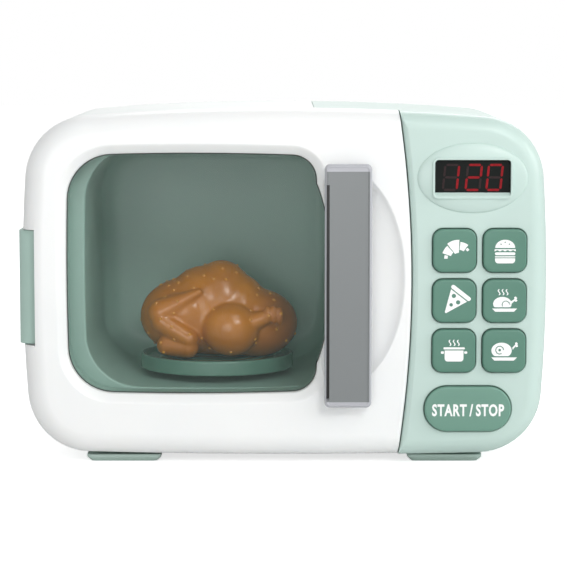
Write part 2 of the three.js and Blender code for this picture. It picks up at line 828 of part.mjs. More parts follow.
// The white half of the housing: a crowned channel with an inner tongue that laps the seam
function leftHousing() {
  const outer = crownedBlock(cabinetForm, 0, housingFront, rearSeam);
  const hollow = crownedBlock(cabinetHollow, wall, housingFront - overrun, rearSeam + overrun);
  const beyond = box(
    seamX, halfWidth + overrun, 0, cabinetDepth, 0, footHeight + cabinetHeight + overrun,
  );
  const hingeSeat = box(
    -halfWidth - overrun, hingeX + hingeReach / 2 + seam, 0, housingFront + hingeRoot + seam,
    notchBottom - seam, notchTop + seam,
  );
  const shell = join(cut(outer, hollow, beyond), ...housingPosts(-1)).intersect(
    crownedBlock(cabinetForm, 0, housingFront, rearSeam),
  );
  const lap = cut(tongue(wall - seam, tongueThickness + seam), cut(tongue(0, wall + seam), box(
    -halfWidth, seamX - seam, 0, cabinetDepth, 0, footHeight + cabinetHeight + overrun,
  )));
  return piece('left_housing', cut(join(shell, lap), hingeSeat, ...housingBores(), ...footHoles()), 'white');
}

const lensBack = wall + seam;
const boardFront = wall + seam + buttonFlangeThickness + stemLength + buttonTravel + seam + domeHeight
  + matThickness + seam;
const boardPosts = [
  [bulgeX - lensWidth / 2 + boardPostRadius, bulgeZ + bulgeHalfHeight - boardPostRadius],
  [bulgeX + lensWidth / 2 - boardPostRadius, bulgeZ + bulgeHalfHeight - boardPostRadius],
  [boardX - boardWidth / 2 + boardPostRadius, bulgeZ - bulgeHalfHeight - boardPostRadius],
  [boardX + boardWidth / 2 - boardPostRadius, pillZ],
];
const buttonPlaces = [0, 1, 2].flatMap((row) => [0, 1].map((column) => [
  buttonX + column * buttonPitchX, midZ + buttonRise - row * buttonPitchZ,
]));

function buttonOutline(x, z, grow) {
  return roundedOutline(x, z, buttonSize + 2 * grow, buttonSize + 2 * grow, buttonCorner + grow);
}

function pillOutline(x, z, grow) {
  const [width, height] = [pillWidth + 2 * grow, pillHeight + 2 * grow];
  return roundedOutline(x, z, width, height, height / 2, cornerSteps);
}

function lensPrism(grow, front, back) {
  const outline = roundedOutline(
    bulgeX, bulgeZ, lensWidth + 2 * grow, lensHeight + 2 * grow, lensCorner + grow,
  );
  return prismY(outline, front, back);
}

// The mint half of the housing carries the control panel on its front
function rightHousing() {
  const outer = crownedBlock(cabinetForm, 0, 0, rearSeam, panelRound);
  const doorRoom = doorSide(doorGap, -overrun, housingFront, -doorEdgeRound);
  const flangeRoom = crownedBlock(cabinetHollow, wall, housingFront - overrun, flangeBack)
    .intersect(doorSide(doorGap, 0, flangeBack));
  const leftHalf = box(
    -halfWidth - overrun, seamX + seam, housingFront - overrun, cabinetDepth, 0,
    footHeight + cabinetHeight + overrun,
  );
  const bulge = ellipsoid(
    bulgeX, 0, bulgeZ, bulgeHalfWidth, bulgeHeight, bulgeHalfHeight, discSteps, shaftSteps,
  );
  const bulgeRelief = ellipsoid(
    bulgeX, wall, bulgeZ, bulgeHalfWidth - wall, bulgeHeight, bulgeHalfHeight - wall,
  );
  const hollow = cut(
    join(crownedBlock(cabinetHollow, wall, wall, rearSeam + overrun, panelRound - wall), bulgeRelief),
    doorSide(doorGap + wall, -overrun, flangeBack),
    ...boardPosts.map(([x, z]) => rodY(x, z, boardPostRadius, 0, boardFront - seam)),
    ...housingPosts(1),
  );
  const shell = join(
    cut(join(outer, bulge), doorRoom, hollow, leftHalf, flangeRoom),
    lensPrism(lensFrame, -lensFrameRise, lensBack - seam),
  );
  return piece('right_housing', cut(
    shell, lensPrism(seam, -overrun, lensBack + overrun),
    ...buttonPlaces.map(([x, z]) => prismY(buttonOutline(x, z, buttonGap), -overrun, wall + overrun)),
    prismY(pillOutline(pillX, pillZ, buttonGap), -overrun, wall + overrun),
    ...housingBores(), ...footHoles(),
  ), 'mint');
}

// The rear cover: a shallow tray with screw wells, the speaker grille and the battery mouth
const trayWidth = batteryCount * batteryPitch + 2 * trayWall;
const trayHeight = batteryLength + 2 * (batteryNub + contactGap + contactThickness + trayWall);
const trayFront = cabinetDepth - batteryCoverThickness - 2 * batteryRadius - trayWall - 2 * seam;
const coverWidth = trayWidth + 2 * batteryCoverLap;
const coverHeight = trayHeight + 2 * batteryCoverLap + 2 * screwHeadRadius;
const batteryScrewZ = batteryZ + trayHeight / 2 + (batteryCoverLap + screwHeadRadius) / 2 + seam;
const cellDepth = trayFront + trayWall + batteryRadius;
const cellXs = Array.from({ length: batteryCount }, (_, i) => (
  batteryX + (i - (batteryCount - 1) / 2) * batteryPitch
));

function rearCover() {
  const outer = crownedBlock(cabinetForm, 0, rearSeam + seam, cabinetDepth, 0, rearRound);
  const wells = rearBosses.map(([x, z]) => rodY(
    x, z, screwHeadRadius + seam + screwWellWall, rearSeam + seam, cabinetDepth,
  ));
  const seat = rodY(
    speakerX, speakerZ, speakerRadius + speakerSeat,
    cabinetDepth - speakerThickness, cabinetDepth, wheelSteps,
  );
  const coverOutline = (grow) => roundedOutline(
    batteryX, batteryZ, coverWidth + 2 * grow, coverHeight + 2 * grow, batteryCoverCorner + grow,
  );
  const batterySill = prismY(
    coverOutline(wall), cabinetDepth - batteryCoverThickness - seam - wall, cabinetDepth,
  );
  const hollow = cut(
    crownedBlock(cabinetHollow, wall, rearSeam - overrun, cabinetDepth - wall, 0, rearRound - wall),
    ...wells, seat, batterySill,
  );
  const wellBores = rearBosses.flatMap(([x, z]) => [
    rodY(x, z, screwHeadRadius + seam, cabinetDepth - screwWell, cabinetDepth + overrun),
    rodY(x, z, screwShankRadius + seam, rearSeam - overrun, cabinetDepth),
  ]);
  const slots = Array.from({ length: grilleSlotCount }, (_, i) => {
    const rise = (i - (grilleSlotCount - 1) / 2) * grilleSlotPitch;
    const width = 2 * Math.sqrt(grilleRadius ** 2 - rise ** 2);
    return prismY(
      roundedOutline(speakerX, speakerZ + rise, width, grilleSlotWidth, grilleSlotWidth / 2, hollowSteps),
      cabinetDepth - 2 * wall, cabinetDepth + overrun,
    );
  });
  const speakerRoom = rodY(
    speakerX, speakerZ, speakerRadius + seam, rearSeam - overrun, cabinetDepth - wall, wheelSteps,
  );
  const coverRoom = prismY(
    coverOutline(seam), cabinetDepth - batteryCoverThickness - seam, cabinetDepth + overrun,
  );
  const mouth = box(
    batteryX - trayWidth / 2 - seam, batteryX + trayWidth / 2 + seam, rearSeam - overrun, cabinetDepth,
    batteryZ - trayHeight / 2 - seam, batteryZ + trayHeight / 2 + seam,
  );
  const coverBore = screwRoom(batteryX, batteryScrewZ, cabinetDepth, 1);
  return piece('rear_cover', cut(
    outer, hollow, ...wellBores, ...slots, speakerRoom, coverRoom, mouth, coverBore,
  ), 'white');
}

function batteryTray() {
  const back = cabinetDepth - batteryCoverThickness - 2 * seam;
  const outer = box(
    batteryX - trayWidth / 2, batteryX + trayWidth / 2, trayFront, back,
    batteryZ - trayHeight / 2, batteryZ + trayHeight / 2,
  );
  const innerWidth = trayWidth / 2 - trayWall;
  const innerHeight = trayHeight / 2 - trayWall;
  const room = box(
    batteryX - innerWidth, batteryX + innerWidth, trayFront + trayWall + cradleDepth, back + overrun,
    batteryZ - innerHeight, batteryZ + innerHeight,
  );
  const cradles = cellXs.map((x) => rodZ(
    x, cellDepth, batteryRadius + seam / 2, batteryZ - innerHeight, batteryZ + innerHeight, wheelSteps,
  ));
  return piece('battery_tray', cut(outer, room, ...cradles), 'black');
}

function battery(i) {
  const half = batteryLength / 2;
  const cell = revolveY([
    [0, -half], [batteryRadius, -half], [batteryRadius, half], [batteryNubRadius, half],
    [batteryNubRadius, half + batteryNub], [0, half + batteryNub],
  ], shaftSteps);
  const mesh = piece(`battery_${i + 1}`, cell, 'cell');
  mesh.rotation.x = i % 2 ? -Math.PI / 2 : Math.PI / 2;
  return placed(mesh, cellXs[i], cellDepth + seam, batteryZ);
}

function batteryContact(name, end) {
  const z = batteryZ + end * (trayHeight / 2 - trayWall - contactThickness / 2 - seam);
  const inner = trayWidth / 2 - trayWall - seam;
  const strip = box(
    batteryX - inner, batteryX + inner, cellDepth - contactWidth / 2, cellDepth + contactWidth / 2,
    z - contactThickness / 2, z + contactThickness / 2,
  );
  return piece(name, strip, 'steel');
}

function batteryCover() {
  const plate = prismY(
    roundedOutline(batteryX, batteryZ, coverWidth, coverHeight, batteryCoverCorner),
    cabinetDepth - batteryCoverThickness, cabinetDepth,
  );
  return piece('battery_cover', cut(plate, screwRoom(batteryX, batteryScrewZ, cabinetDepth, 1)), 'white');
}

function screwSolid() {
  return revolveY([
    [0, 0], [screwHeadRadius, 0], [screwHeadRadius, screwHeadHeight], [screwShankRadius, screwHeadHeight],
    [screwShankRadius, screwHeadHeight + screwLength], [0, screwHeadHeight + screwLength],
  ], screwSteps);
}

// A screw whose head lies on a face at depth y; rear screws point forwards
function screw(name, x, y, z, forwards) {
  const mesh = piece(name, screwSolid(), 'steel');
  mesh.rotation.x = forwards ? Math.PI : 0;
  return placed(mesh, x, forwards ? y + screwHeadHeight + seam : y - screwHeadHeight - seam, z);
}

// The cavity liner: a deep tub with coved back edges behind a broad front flange
function cavityLiner() {
  const tub = (grow) => {
    const back = cavityDepth + grow;
    const cove = cavityCove + grow;
    const form = grow ? cavityOuter : cavityForm;
    const front = grow ? housingFront : housingFront - overrun;
    const sections = [{ y: front, points: crownedOutline(form, -grow) }];
    const steps = grow ? hollowSteps : roundSteps;
    for (let i = 0; i <= steps; i += 1) {
      const angle = (Math.PI / 2) * (i / steps);
      sections.push({
        y: back - cove * (1 - Math.sin(angle)),
        points: crownedOutline(form, cavityDraft - grow + cove * (1 - Math.cos(angle))),
      });
    }
    return loftY(sections);
  };
  const flange = crownedBlock(cabinetHollow, wall + seam, housingFront, flangeBack)
    .intersect(doorSide(doorGap - seam, 0, flangeBack + overrun));
  const posts = drivePosts().map(([x, y]) => rodZ(x, y, drivePostRadius, drivePlateTop + seam, cavityZ));
  const hingeRoom = box(
    -halfWidth, hingeX + hingeKnuckle + seam, 0, flangeBack + overrun, notchBottom - seam, notchTop + seam,
  );
  const latchSlot = box(
    latchX - latchWidth / 2 - latchGap, latchX + latchWidth / 2 + latchGap, 0, flangeBack + overrun,
    midZ - latchHeight / 2 - latchGap, midZ + latchHeight / 2 + latchGap,
  );
  const shaftHole = rodZ(
    cavityX, turntableDepth, couplerRadius + swingGap, 0, cavityFloor + overrun, wheelSteps,
  );
  const postBores = drivePosts().map(([x, y]) => rodZ(
    x, y, screwShankRadius + seam, drivePlateTop, drivePlateTop + screwLength,
  ));
  const pads = flangeBosses.map(([x, z]) => rodY(x, z, doorBossRadius, housingFront, flangePadBack))
    .map((pad) => pad.intersect(crownedBlock(cabinetHollow, wall + seam, 0, cabinetDepth)));
  return piece('cavity_liner', cut(
    join(flange, tub(cavityWall), ...pads, ...posts), tub(0), hingeRoom, latchSlot, shaftHole, ...postBores,
    ...flangeBosses.map(([x, z]) => screwRoom(x, z, housingFront, -1)),
  ), 'sage');
}

// Gear teeth with involute flanks; a tooth is centred on the phase angle
function gearOutline(teeth, phase) {
  const pitch = (gearModule * teeth) / 2;
  const base = pitch * Math.cos(pressureAngle);
  const tip = pitch + gearModule * addendumShare;
  const root = pitch - gearModule * dedendumShare;
  const involute = (radius) => {
    const turn = Math.acos(Math.min(1, base / radius));
    return Math.tan(turn) - turn;
  };
  const halfTooth = Math.PI / (2 * teeth) - gearBacklash / (2 * pitch);
  const halfAt = (radius) => halfTooth + involute(pitch) - involute(Math.max(radius, base));
  const radii = [root, pitch, tip];
  const flank = radii.map((radius) => [radius, halfAt(radius)]);
  return Array.from({ length: teeth }, (_, i) => {
    const middle = phase + (2 * Math.PI * i) / teeth;
    const rising = flank.map(([radius, half]) => [radius, middle - half]);
    const falling = flank.map(([radius, half]) => [radius, middle + half]).reverse();
    return [...rising, ...falling].map(([radius, angle]) => (
      new THREE.Vector2(radius * Math.cos(angle), radius * Math.sin(angle))
    ));
  }).flat();
}

function drivePosts() {
  return [
    [cavityX - spindleGearRadius - drivePostReach, turntableDepth],
    [reductionX, reductionY - reductionRadius - drivePostReach],
    [cavityX, turntableDepth + spindleGearRadius + drivePostReach],
  ];
}

function drivePlate() {
  const xs = [cavityX - spindleGearRadius - drivePlateMargin, motorX + motorRadius + drivePostRadius];
  const ys = [reductionY - reductionRadius - drivePlateMargin, motorY + motorRadius + drivePostRadius];
  const outline = roundedOutline(
    (xs[0] + xs[1]) / 2, (ys[0] + ys[1]) / 2, xs[1] - xs[0], ys[1] - ys[0], drivePostRadius, roundSteps,
  );
  const bearing = rodZ(
    cavityX, turntableDepth, spindleRadius + bearingWall, drivePlateZ, upperGearZ - gearStep,
  );
  const collar = rodZ(reductionX, reductionY, axleRadius + bearingWall, drivePlateZ, reductionZ - gearStep);
  const motorRing = rodZ(
    motorX, motorY, motorRadius + motorRingWall, drivePlateZ, drivePlateTop + motorRingHeight, wheelSteps,
  );
  const motorRoom = rodZ(motorX, motorY, motorRadius + seam, drivePlateTop, reductionZ, wheelSteps);
  const shaftBore = rodZ(cavityX, turntableDepth, spindleRadius + seam, drivePlateTop, cavityFloor);
  const axleBore = rodZ(reductionX, reductionY, axleRadius + seam, drivePlateTop, cavityFloor);
  const screwBores = drivePosts().map(([x, y]) => rodZ(x, y, screwShankRadius + seam, 0, cavityFloor));
  return piece('drive_plate', cut(
    join(prismZ(outline, drivePlateZ, drivePlateTop), bearing, collar, motorRing),
    motorRoom, shaftBore, axleBore, ...screwBores,
  ), 'nylon');
}

function driveMotor() {
  const shaftTop = motorHeight + gearLift + pinionThickness;
  const body = revolveY([
    [0, 0], [motorRadius, 0], [motorRadius, motorHeight], [motorShaftRadius, motorHeight],
    [motorShaftRadius, shaftTop], [0, shaftTop],
  ], wheelSteps);
  const mesh = piece('drive_motor', body, 'steel');
  mesh.rotation.x = Math.PI / 2;
  return placed(mesh, motorX, motorY, drivePlateTop + seam);
}

function driveScrew(i) {
  const [x, y] = drivePosts()[i];
  const mesh = piece(`drive_screw_${i + 1}`, screwSolid(), 'steel');
  mesh.rotation.x = Math.PI / 2;
  return placed(mesh, x, y, drivePlateZ - screwHeadHeight - seam);
}

// Wheels are drawn about their own axes and moved to their places
function motorPinion() {
  const phase = motorBearing + Math.PI + Math.PI / pinionTeeth;
  const wheel = cut(
    prismZ(gearOutline(pinionTeeth, phase), 0, pinionThickness),
    rodZ(0, 0, motorShaftRadius + seam, -overrun, pinionThickness + overrun),
  );
  return placed(piece('motor_pinion', wheel, 'nylon'), motorX, motorY, reductionZ - gearStep);
}

function reductionGear() {
  const upper = gearThickness + gearStep;
  const small = gearOutline(pinionTeeth, reductionBearing + Math.PI);
  const wheel = cut(
    join(
      prismZ(gearOutline(reductionTeeth, motorBearing), 0, gearThickness),
      prismZ(small, gearThickness / 2, upper + pinionThickness),
    ),
    rodZ(0, 0, gearBore, -overrun, 2 * upper + overrun),
  );
  return placed(piece('reduction_gear', wheel, 'nylon'), reductionX, reductionY, reductionZ);
}

function reductionAxle() {
  const top = upperGearZ + pinionThickness - drivePlateTop;
  const rod = rodZ(0, 0, axleRadius, 0, top);
  return placed(piece('reduction_axle', rod, 'steel'), reductionX, reductionY, drivePlateTop + seam);
}

// The spindle: shaft, driven wheel and the lobed coupler that turns the plate
function turntableSpindle() {
  const low = drivePlateTop + seam;
  const couplerLow = upperGearZ + gearThickness;
  const couplerTop = cavityFloor + plateLift + plateHeight - plateRimRise - plateFloor - seam;
  const phase = reductionBearing + Math.PI / spindleTeeth;
  const lobes = Array.from({ length: couplerLobes * roundSteps * 2 }, (_, i) => {
    const angle = (2 * Math.PI * i) / (couplerLobes * roundSteps * 2);
    const radius = couplerRadius * (1 - lobeShare * (1 - Math.cos(couplerLobes * angle)));
    return new THREE.Vector2(radius * Math.cos(angle), radius * Math.sin(angle));
  });
  const wheel = join(
    rodZ(0, 0, spindleRadius, low, couplerTop),
    prismZ(gearOutline(spindleTeeth, phase), upperGearZ, upperGearZ + gearThickness),
    prismZ(lobes, couplerLow - gearStep, couplerTop),
  );
  return placed(piece('turntable_spindle', wheel, 'nylon'), cavityX, turntableDepth, 0);
}

function turntablePlate() {
  const low = cavityFloor + plateLift;
  const top = low + plateHeight;
  const floorTop = top - plateRimRise;
  const inner = plateRadius - plateRim;
  const disc = revolveZ([
    [0, floorTop - plateFloor], [inner, floorTop - plateFloor], [inner, low],
    [plateRadius, low], [plateRadius, top - plateRim / 2], [plateRadius - plateRim / 2, top],
    [inner, top], [inner - plateRim, floorTop], [0, floorTop],
  ], discSteps);
  const hub = rodZ(0, 0, hubRadius, low - plateLift / 2, floorTop - plateFloor / 2, wheelSteps);
  const socket = rodZ(0, 0, couplerRadius + seam, 0, floorTop - plateFloor, wheelSteps);
  const plate = piece('turntable_plate', cut(join(disc, hub), socket), 'plateGreen');
  return placed(plate, cavityX, turntableDepth, 0);
}

// The chicken lies on the plate: a rounded body, two folded wings and two drumsticks
function toyChicken() {
  const [lengthUnit, widthUnit, heightUnit] = [chickenLength / 2, chickenWidth / 2, chickenHeight];
  const lump = (x, y, z, a, b, c, around = boreSteps, down = screwSteps) => ellipsoid(
    x * lengthUnit, y * widthUnit, z * heightUnit,
    a * lengthUnit, b * widthUnit, c * heightUnit, around, down,
  );
  const limb = (points, radii) => join(...points.slice(1).map((end, i) => {
    const start = points[i];
    const path = new THREE.LineCurve3(
      new THREE.Vector3(start[0] * lengthUnit, start[1] * widthUnit, start[2] * heightUnit),
      new THREE.Vector3(end[0] * lengthUnit, end[1] * widthUnit, end[2] * heightUnit),
    );
    const rod = new THREE.CylinderGeometry(
      radii[i + 1] * heightUnit, radii[i] * heightUnit, path.getLength(), screwSteps,
    );
    rod.translate(0, path.getLength() / 2, 0);
    const turn = new THREE.Quaternion().setFromUnitVectors(
      new THREE.Vector3(0, 1, 0), path.getTangent(0),
    );
    rod.applyQuaternion(turn).translate(path.v1.x, path.v1.y, path.v1.z);
    return solid(rod);
  }));
  const body = join(
    lump(...bodyShares, 2 * boreSteps, boreSteps),
    lump(...breastShares, shaftSteps, screwSteps),
    lump(...tailShares),
    lump(...neckShares),
  );
  const facing = ([x, y, z, ...radii], side) => [x, side * y, z, ...radii];
  const sides = [-1, 1].flatMap((side) => [
    lump(...facing(thighShares, side), shaftSteps, screwSteps),
    limb(shankShares.map((point) => facing(point, side)), shankRadiusShares),
    lump(...facing(knobShares, side), screwSteps, roundSteps),
    limb(wingShares.map((point) => facing(point, side)), wingRadiusShares),
    lump(...facing(elbowShares, side), screwSteps, roundSteps),
  ]);
  const trimmed = cut(join(body, ...sides), box(
    -chickenLength, chickenLength, -chickenLength, chickenLength, -chickenHeight, 0,
  ));
  const floorTop = cavityFloor + plateLift + plateHeight - plateRimRise;
  return placed(piece('toy_chicken', trimmed, 'brown'), cavityX, turntableDepth, floorTop + seam);
}

// The panel's inner pieces
function displayLens() {
  return piece('display_lens', join(
    lensPrism(0, lensDepth - lensFrameRise, lensBack + lensFlange),
    lensPrism(lensFlange, lensBack, lensBack + lensFlange),
  ), 'lens');
}

function displayModule() {
  return piece('display_module', box(
    bulgeX - moduleWidth / 2, bulgeX + moduleWidth / 2, lensBack + lensFlange + seam, boardFront - seam,
    bulgeZ - moduleHeight / 2, bulgeZ + moduleHeight / 2,
  ), 'black');
}

function circuitBoard() {
  const board = box(
    boardX - boardWidth / 2, boardX + boardWidth / 2, boardFront, boardFront + boardThickness,
    midZ + boardRise - boardHeight / 2, midZ + boardRise + boardHeight / 2,
  );
  const chip = box(
    boardX - chipSize / 2, boardX + chipSize / 2, boardFront, boardFront + boardThickness + chipThickness,
    midZ - chipSize / 2, midZ + chipSize / 2,
  );
  return piece('circuit_board', join(board, chip), 'board');
}

// The rubber mat lies on the board with a dome behind each button
function keypadMat() {
  const back = boardFront - seam;
  const front = back - matThickness;
  const left = buttonX - buttonSize / 2 - matMargin;
  const right = buttonX + buttonPitchX + buttonSize / 2 + matMargin;
  const top = midZ + buttonRise + buttonSize / 2 + matMargin;
  const middle = pillZ + pillHeight / 2 + matMargin;
  const low = pillZ - domeRadius - matMargin;
  const sheet = join(
    box(left, right, front, back, middle, top),
    box(left, pillX + pillWidth / 2, front, back, low, middle + matMargin),
  );
  const domes = [...buttonPlaces, [pillX, pillZ]].map(([x, z]) => rodY(
    x, z, domeRadius, front - domeHeight, back,
  ));
  const [postX, postZ] = boardPosts.at(-1);
  const postHole = rodY(postX, postZ, boardPostRadius + seam, 0, back + overrun);
  return piece('keypad_mat', cut(join(sheet, ...domes), postHole), 'rubber');
}

// A push button: a rounded cap through the panel, a flange behind it and a stem for its switch
function pushButton(name, x, z, outline) {
  const cap = loftY([
    { y: -buttonProud, points: outline(0, 0, -buttonRound) },
    { y: -buttonProud + buttonRound, points: outline(0, 0, 0) },
    { y: wall + seam + buttonFlangeThickness, points: outline(0, 0, 0) },
  ]);
  const flange = prismY(outline(0, 0, buttonFlange), wall + seam, wall + seam + buttonFlangeThickness);
  const stem = rodY(0, 0, stemRadius, 0, wall + seam + buttonFlangeThickness + stemLength);
  return placed(piece(name, join(cap, flange, stem), 'green'), x, 0, z);
}

function speaker() {
  const back = cabinetDepth - wall - seam;
  const cone = revolveY([
    [0, 0], [speakerMagnetRadius, 0], [speakerMagnetRadius, speakerThickness / 2],
    [speakerRadius, speakerThickness - speakerRim], [speakerRadius, speakerThickness],
    [speakerRadius - wall, speakerThickness], [speakerMagnetRadius / 2, speakerThickness / 2],
    [0, speakerThickness / 2],
  ], wheelSteps);
  return placed(piece('speaker', cone, 'black'), speakerX, back - speakerThickness, speakerZ);
}

// A foot: a tapered pad that follows the crowned floor of the housing, with a peg through it.
// Ahead of the housing the pad stays lower, so that the door swings over it.
function foot(name, side, depth) {
  const x = side * footSpreadX;
  const outline = (width, length) => roundedOutline(0, 0, width, length, footTaper, hollowSteps);
  const rise = (z, taper) => ({ y: -z, points: outline(footWidth - 2 * taper, footLength - 2 * taper) });
  const block = loftGeometry([
    rise(footHeight + wall, 0), rise(footHeight / 2, 0), rise(0, footTaper),
  ]).rotateX(-Math.PI / 2).translate(x, depth, 0);
  const housing = crownedBlock(cabinetForm, -seam, -overrun, cabinetDepth);
  const doorRoom = box(
    -halfWidth, halfWidth, -overrun, housingFront + seam, footHeight - doorGap, footHeight + cabinetHeight,
  );
  const peg = rodZ(x, depth + footPegDepth, footPegRadius, footHeight / 2, footHeight + footPegLength);
  return piece(name, join(cut(solid(block), housing, doorRoom), peg), 'sage');
}

// Groups: the shell, the door, the controls, the drive, and what stands in the cavity
const toyMicrowave = new THREE.Group();
const shell = new THREE.Group();
const door = new THREE.Group();
const controls = new THREE.Group();
const drive = new THREE.Group();
const cooking = new THREE.Group();

door.add(doorFrame(), doorWindow(), doorBackFrame(), doorHandle());
doorBosses.forEach(([x, z], i) => door.add(
  screw(`door_screw_${i + 1}`, x, doorDepth - headRoom, z, true),
));

shell.add(leftHousing(), rightHousing(), rearCover(), cavityLiner(), hingeBlock(), hingePin());
rearBosses.forEach(([x, z], i) => shell.add(
  screw(`rear_screw_${i + 1}`, x, cabinetDepth - screwWell, z, true),
));
flangeBosses.forEach(([x, z], i) => shell.add(
  screw(`liner_screw_${i + 1}`, x, housingFront + headRoom, z, false),
));
shell.add(
  foot('foot_front_left', -1, footFrontDepth), foot('foot_front_right', 1, footFrontDepth),
  foot('foot_rear_left', -1, footRearDepth), foot('foot_rear_right', 1, footRearDepth),
);

const buttonNames = ['croissant', 'burger', 'pizza', 'roast_chicken', 'pot', 'ham'];
buttonPlaces.forEach(([x, z], i) => controls.add(
  pushButton(`button_${buttonNames[i]}`, x, z, buttonOutline),
));
controls.add(
  pushButton('button_start_stop', pillX, pillZ, pillOutline),
  displayLens(), displayModule(), circuitBoard(), keypadMat(), speaker(),
  batteryTray(), batteryContact('battery_contact_upper', 1), batteryContact('battery_contact_lower', -1),
  batteryCover(), screw('battery_cover_screw', batteryX, cabinetDepth - headRoom, batteryScrewZ, true),
);
cellXs.forEach((_, i) => controls.add(battery(i)));

drive.add(drivePlate(), driveMotor(), motorPinion(), reductionAxle(), reductionGear(), turntableSpindle());
drivePosts().forEach((_, i) => drive.add(driveScrew(i)));

cooking.add(turntablePlate(), toyChicken());

// The origin is the middle of the footprint, on the surface that the feet stand on
toyMicrowave.add(shell, door, controls, drive, cooking);
toyMicrowave.position.set(hingeProud / 2, (handleProud - cabinetDepth) / 2, 0);

export default toyMicrowave;
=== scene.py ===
"""Dressed model of the toy microwave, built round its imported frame."""
import sys
import json
import logging
import random
from collections.abc import Callable, Iterable
from dataclasses import dataclass
from enum import Enum
from math import asin, atan2, copysign, cos, pi, radians, sin, sqrt

import bmesh
import bpy
from mathutils import Euler, Matrix, Vector

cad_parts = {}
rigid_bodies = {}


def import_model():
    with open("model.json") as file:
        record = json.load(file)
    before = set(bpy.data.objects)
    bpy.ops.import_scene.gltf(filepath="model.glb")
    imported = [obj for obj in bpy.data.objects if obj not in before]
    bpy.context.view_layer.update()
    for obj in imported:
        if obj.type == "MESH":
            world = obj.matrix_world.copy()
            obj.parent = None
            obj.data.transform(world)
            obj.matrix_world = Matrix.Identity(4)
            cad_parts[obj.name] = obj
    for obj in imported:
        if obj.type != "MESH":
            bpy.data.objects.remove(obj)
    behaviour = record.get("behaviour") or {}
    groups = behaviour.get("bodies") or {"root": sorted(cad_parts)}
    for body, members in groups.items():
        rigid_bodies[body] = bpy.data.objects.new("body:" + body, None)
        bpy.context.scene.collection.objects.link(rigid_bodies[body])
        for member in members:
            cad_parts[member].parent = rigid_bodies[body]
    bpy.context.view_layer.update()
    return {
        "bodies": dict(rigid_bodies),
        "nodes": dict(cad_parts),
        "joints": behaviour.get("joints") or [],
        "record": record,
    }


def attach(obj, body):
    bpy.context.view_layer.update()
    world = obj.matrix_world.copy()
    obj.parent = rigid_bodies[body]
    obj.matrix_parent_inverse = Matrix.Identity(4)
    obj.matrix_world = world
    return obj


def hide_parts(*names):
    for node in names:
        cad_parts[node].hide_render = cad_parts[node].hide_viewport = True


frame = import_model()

LOG = logging.getLogger("toy_microwave")

Point = tuple[float, float]
Triple = tuple[float, float, float]
Oblong = tuple[float, float, float, float]
Ring = list[Triple]
Drawing = list[tuple[list[list[Point]], list[list[Point]]]]
Outline = Callable[[float, float, float], list[Point]]
Colour = tuple[float, float, float]
Piece = bpy.types.Object
Socket = bpy.types.NodeSocket
Shader = bpy.types.Node

# Local millimetres, with depths measured backwards from the door's face, become the frame's metres
MM = 0.001
SHIFT_X = 0.8
SHIFT_Y = -73.25

# Sizes that several pieces share
SEAM = 0.3
WALL = 2.5
OVERRUN = 5.0
MID_Z = 97.5
HALF_WIDTH = 140.0
DOOR_DEPTH = 24.0
HOUSING_FRONT = 24.6
REAR_SEAM = 142.0
CABINET_DEPTH = 156.0
SEAM_X = 15.8
BATTERY_SCREW_Z = 85.65
PANEL_GAP = 0.6
FLANGE_BACK = 27.1
COVER_FRONT = 142.3
COVER_INSIDE = 153.5
SCREW_BORE = 1.6
SCREW_HEAD = 3.1
LEFT_END = -145.0
HINGE = (-133.1, 15.5)
TURNTABLE = (-38.0, 78.5)
BATTERY_LID = (92.0, 53.5)
SPEAKER = (98.0, 133.5)
DISPLAY = (99.5, 154.0, 39.3, 18.6)
DRIVE_POSTS = ((-64.7, 78.5), (-11.0, 54.8), (-38.0, 105.2))
DRIVE_HEAD_Z = 8.0


class Cut(Enum):
    """How one solid works on another."""

    AWAY = "DIFFERENCE"
    SHARED = "INTERSECT"
    ADD = "UNION"


class Facing(Enum):
    """The way a screw's head looks."""

    BACK = (0.0, 1.0, 0.0)
    FRONT = (0.0, -1.0, 0.0)
    DOWN = (0.0, 0.0, -1.0)


def place(x: float, y: float, z: float) -> Vector:
    """Turns local millimetres into the frame's metres.

    Args:
        x: Distance right of the cabinet's middle.
        y: Depth behind the door's face.
        z: Height above the table.

    Returns:
        The point in the frame.
    """
    return Vector(((x + SHIFT_X) * MM, (y + SHIFT_Y) * MM, z * MM))


def arc(centre: Vector, radius: float, start: float, end: float, steps: int) -> list[Point]:
    """Points of an arc, both ends included.

    Args:
        centre: Middle of the circle.
        radius: Its radius.
        start: First angle in radians.
        end: Last angle in radians.
        steps: Number of steps between them.

    Returns:
        The points in order.
    """
    angles = [start + (end - start) * i / steps for i in range(steps + 1)]
    return [(centre.x + radius * cos(a), centre.y + radius * sin(a)) for a in angles]


def rounded(
    x: float, z: float, width: float, height: float, corner: float, steps: int = 8,
) -> list[Point]:
    """A rectangle with round corners.

    Args:
        x: Middle, across.
        z: Middle, upwards.
        width: Full width.
        height: Full height.
        corner: Corner radius.
        steps: Steps of each corner.

    Returns:
        The closed outline.
    """
    signs = ((1, 1), (-1, 1), (-1, -1), (1, -1))
    points: list[Point] = []
    for turn, (across, up) in enumerate(signs):
        centre = Vector((x + across * (width / 2 - corner), z + up * (height / 2 - corner)))
        points += arc(centre, corner, pi / 2 * turn, pi / 2 * (turn + 1), steps)
    return points


def ellipse(
    x: float, z: float, half_width: float, half_height: float, steps: int = 72,
) -> list[Point]:
    """An ellipse about a middle, given its half sizes."""
    angles = [2 * pi * i / steps for i in range(steps)]
    return [(x + half_width * cos(a), z + half_height * sin(a)) for a in angles]


def flat(points: Iterable[Point], y: float) -> Ring:
    """Stands an outline upright at one depth."""
    return [(x, y, z) for x, z in points]


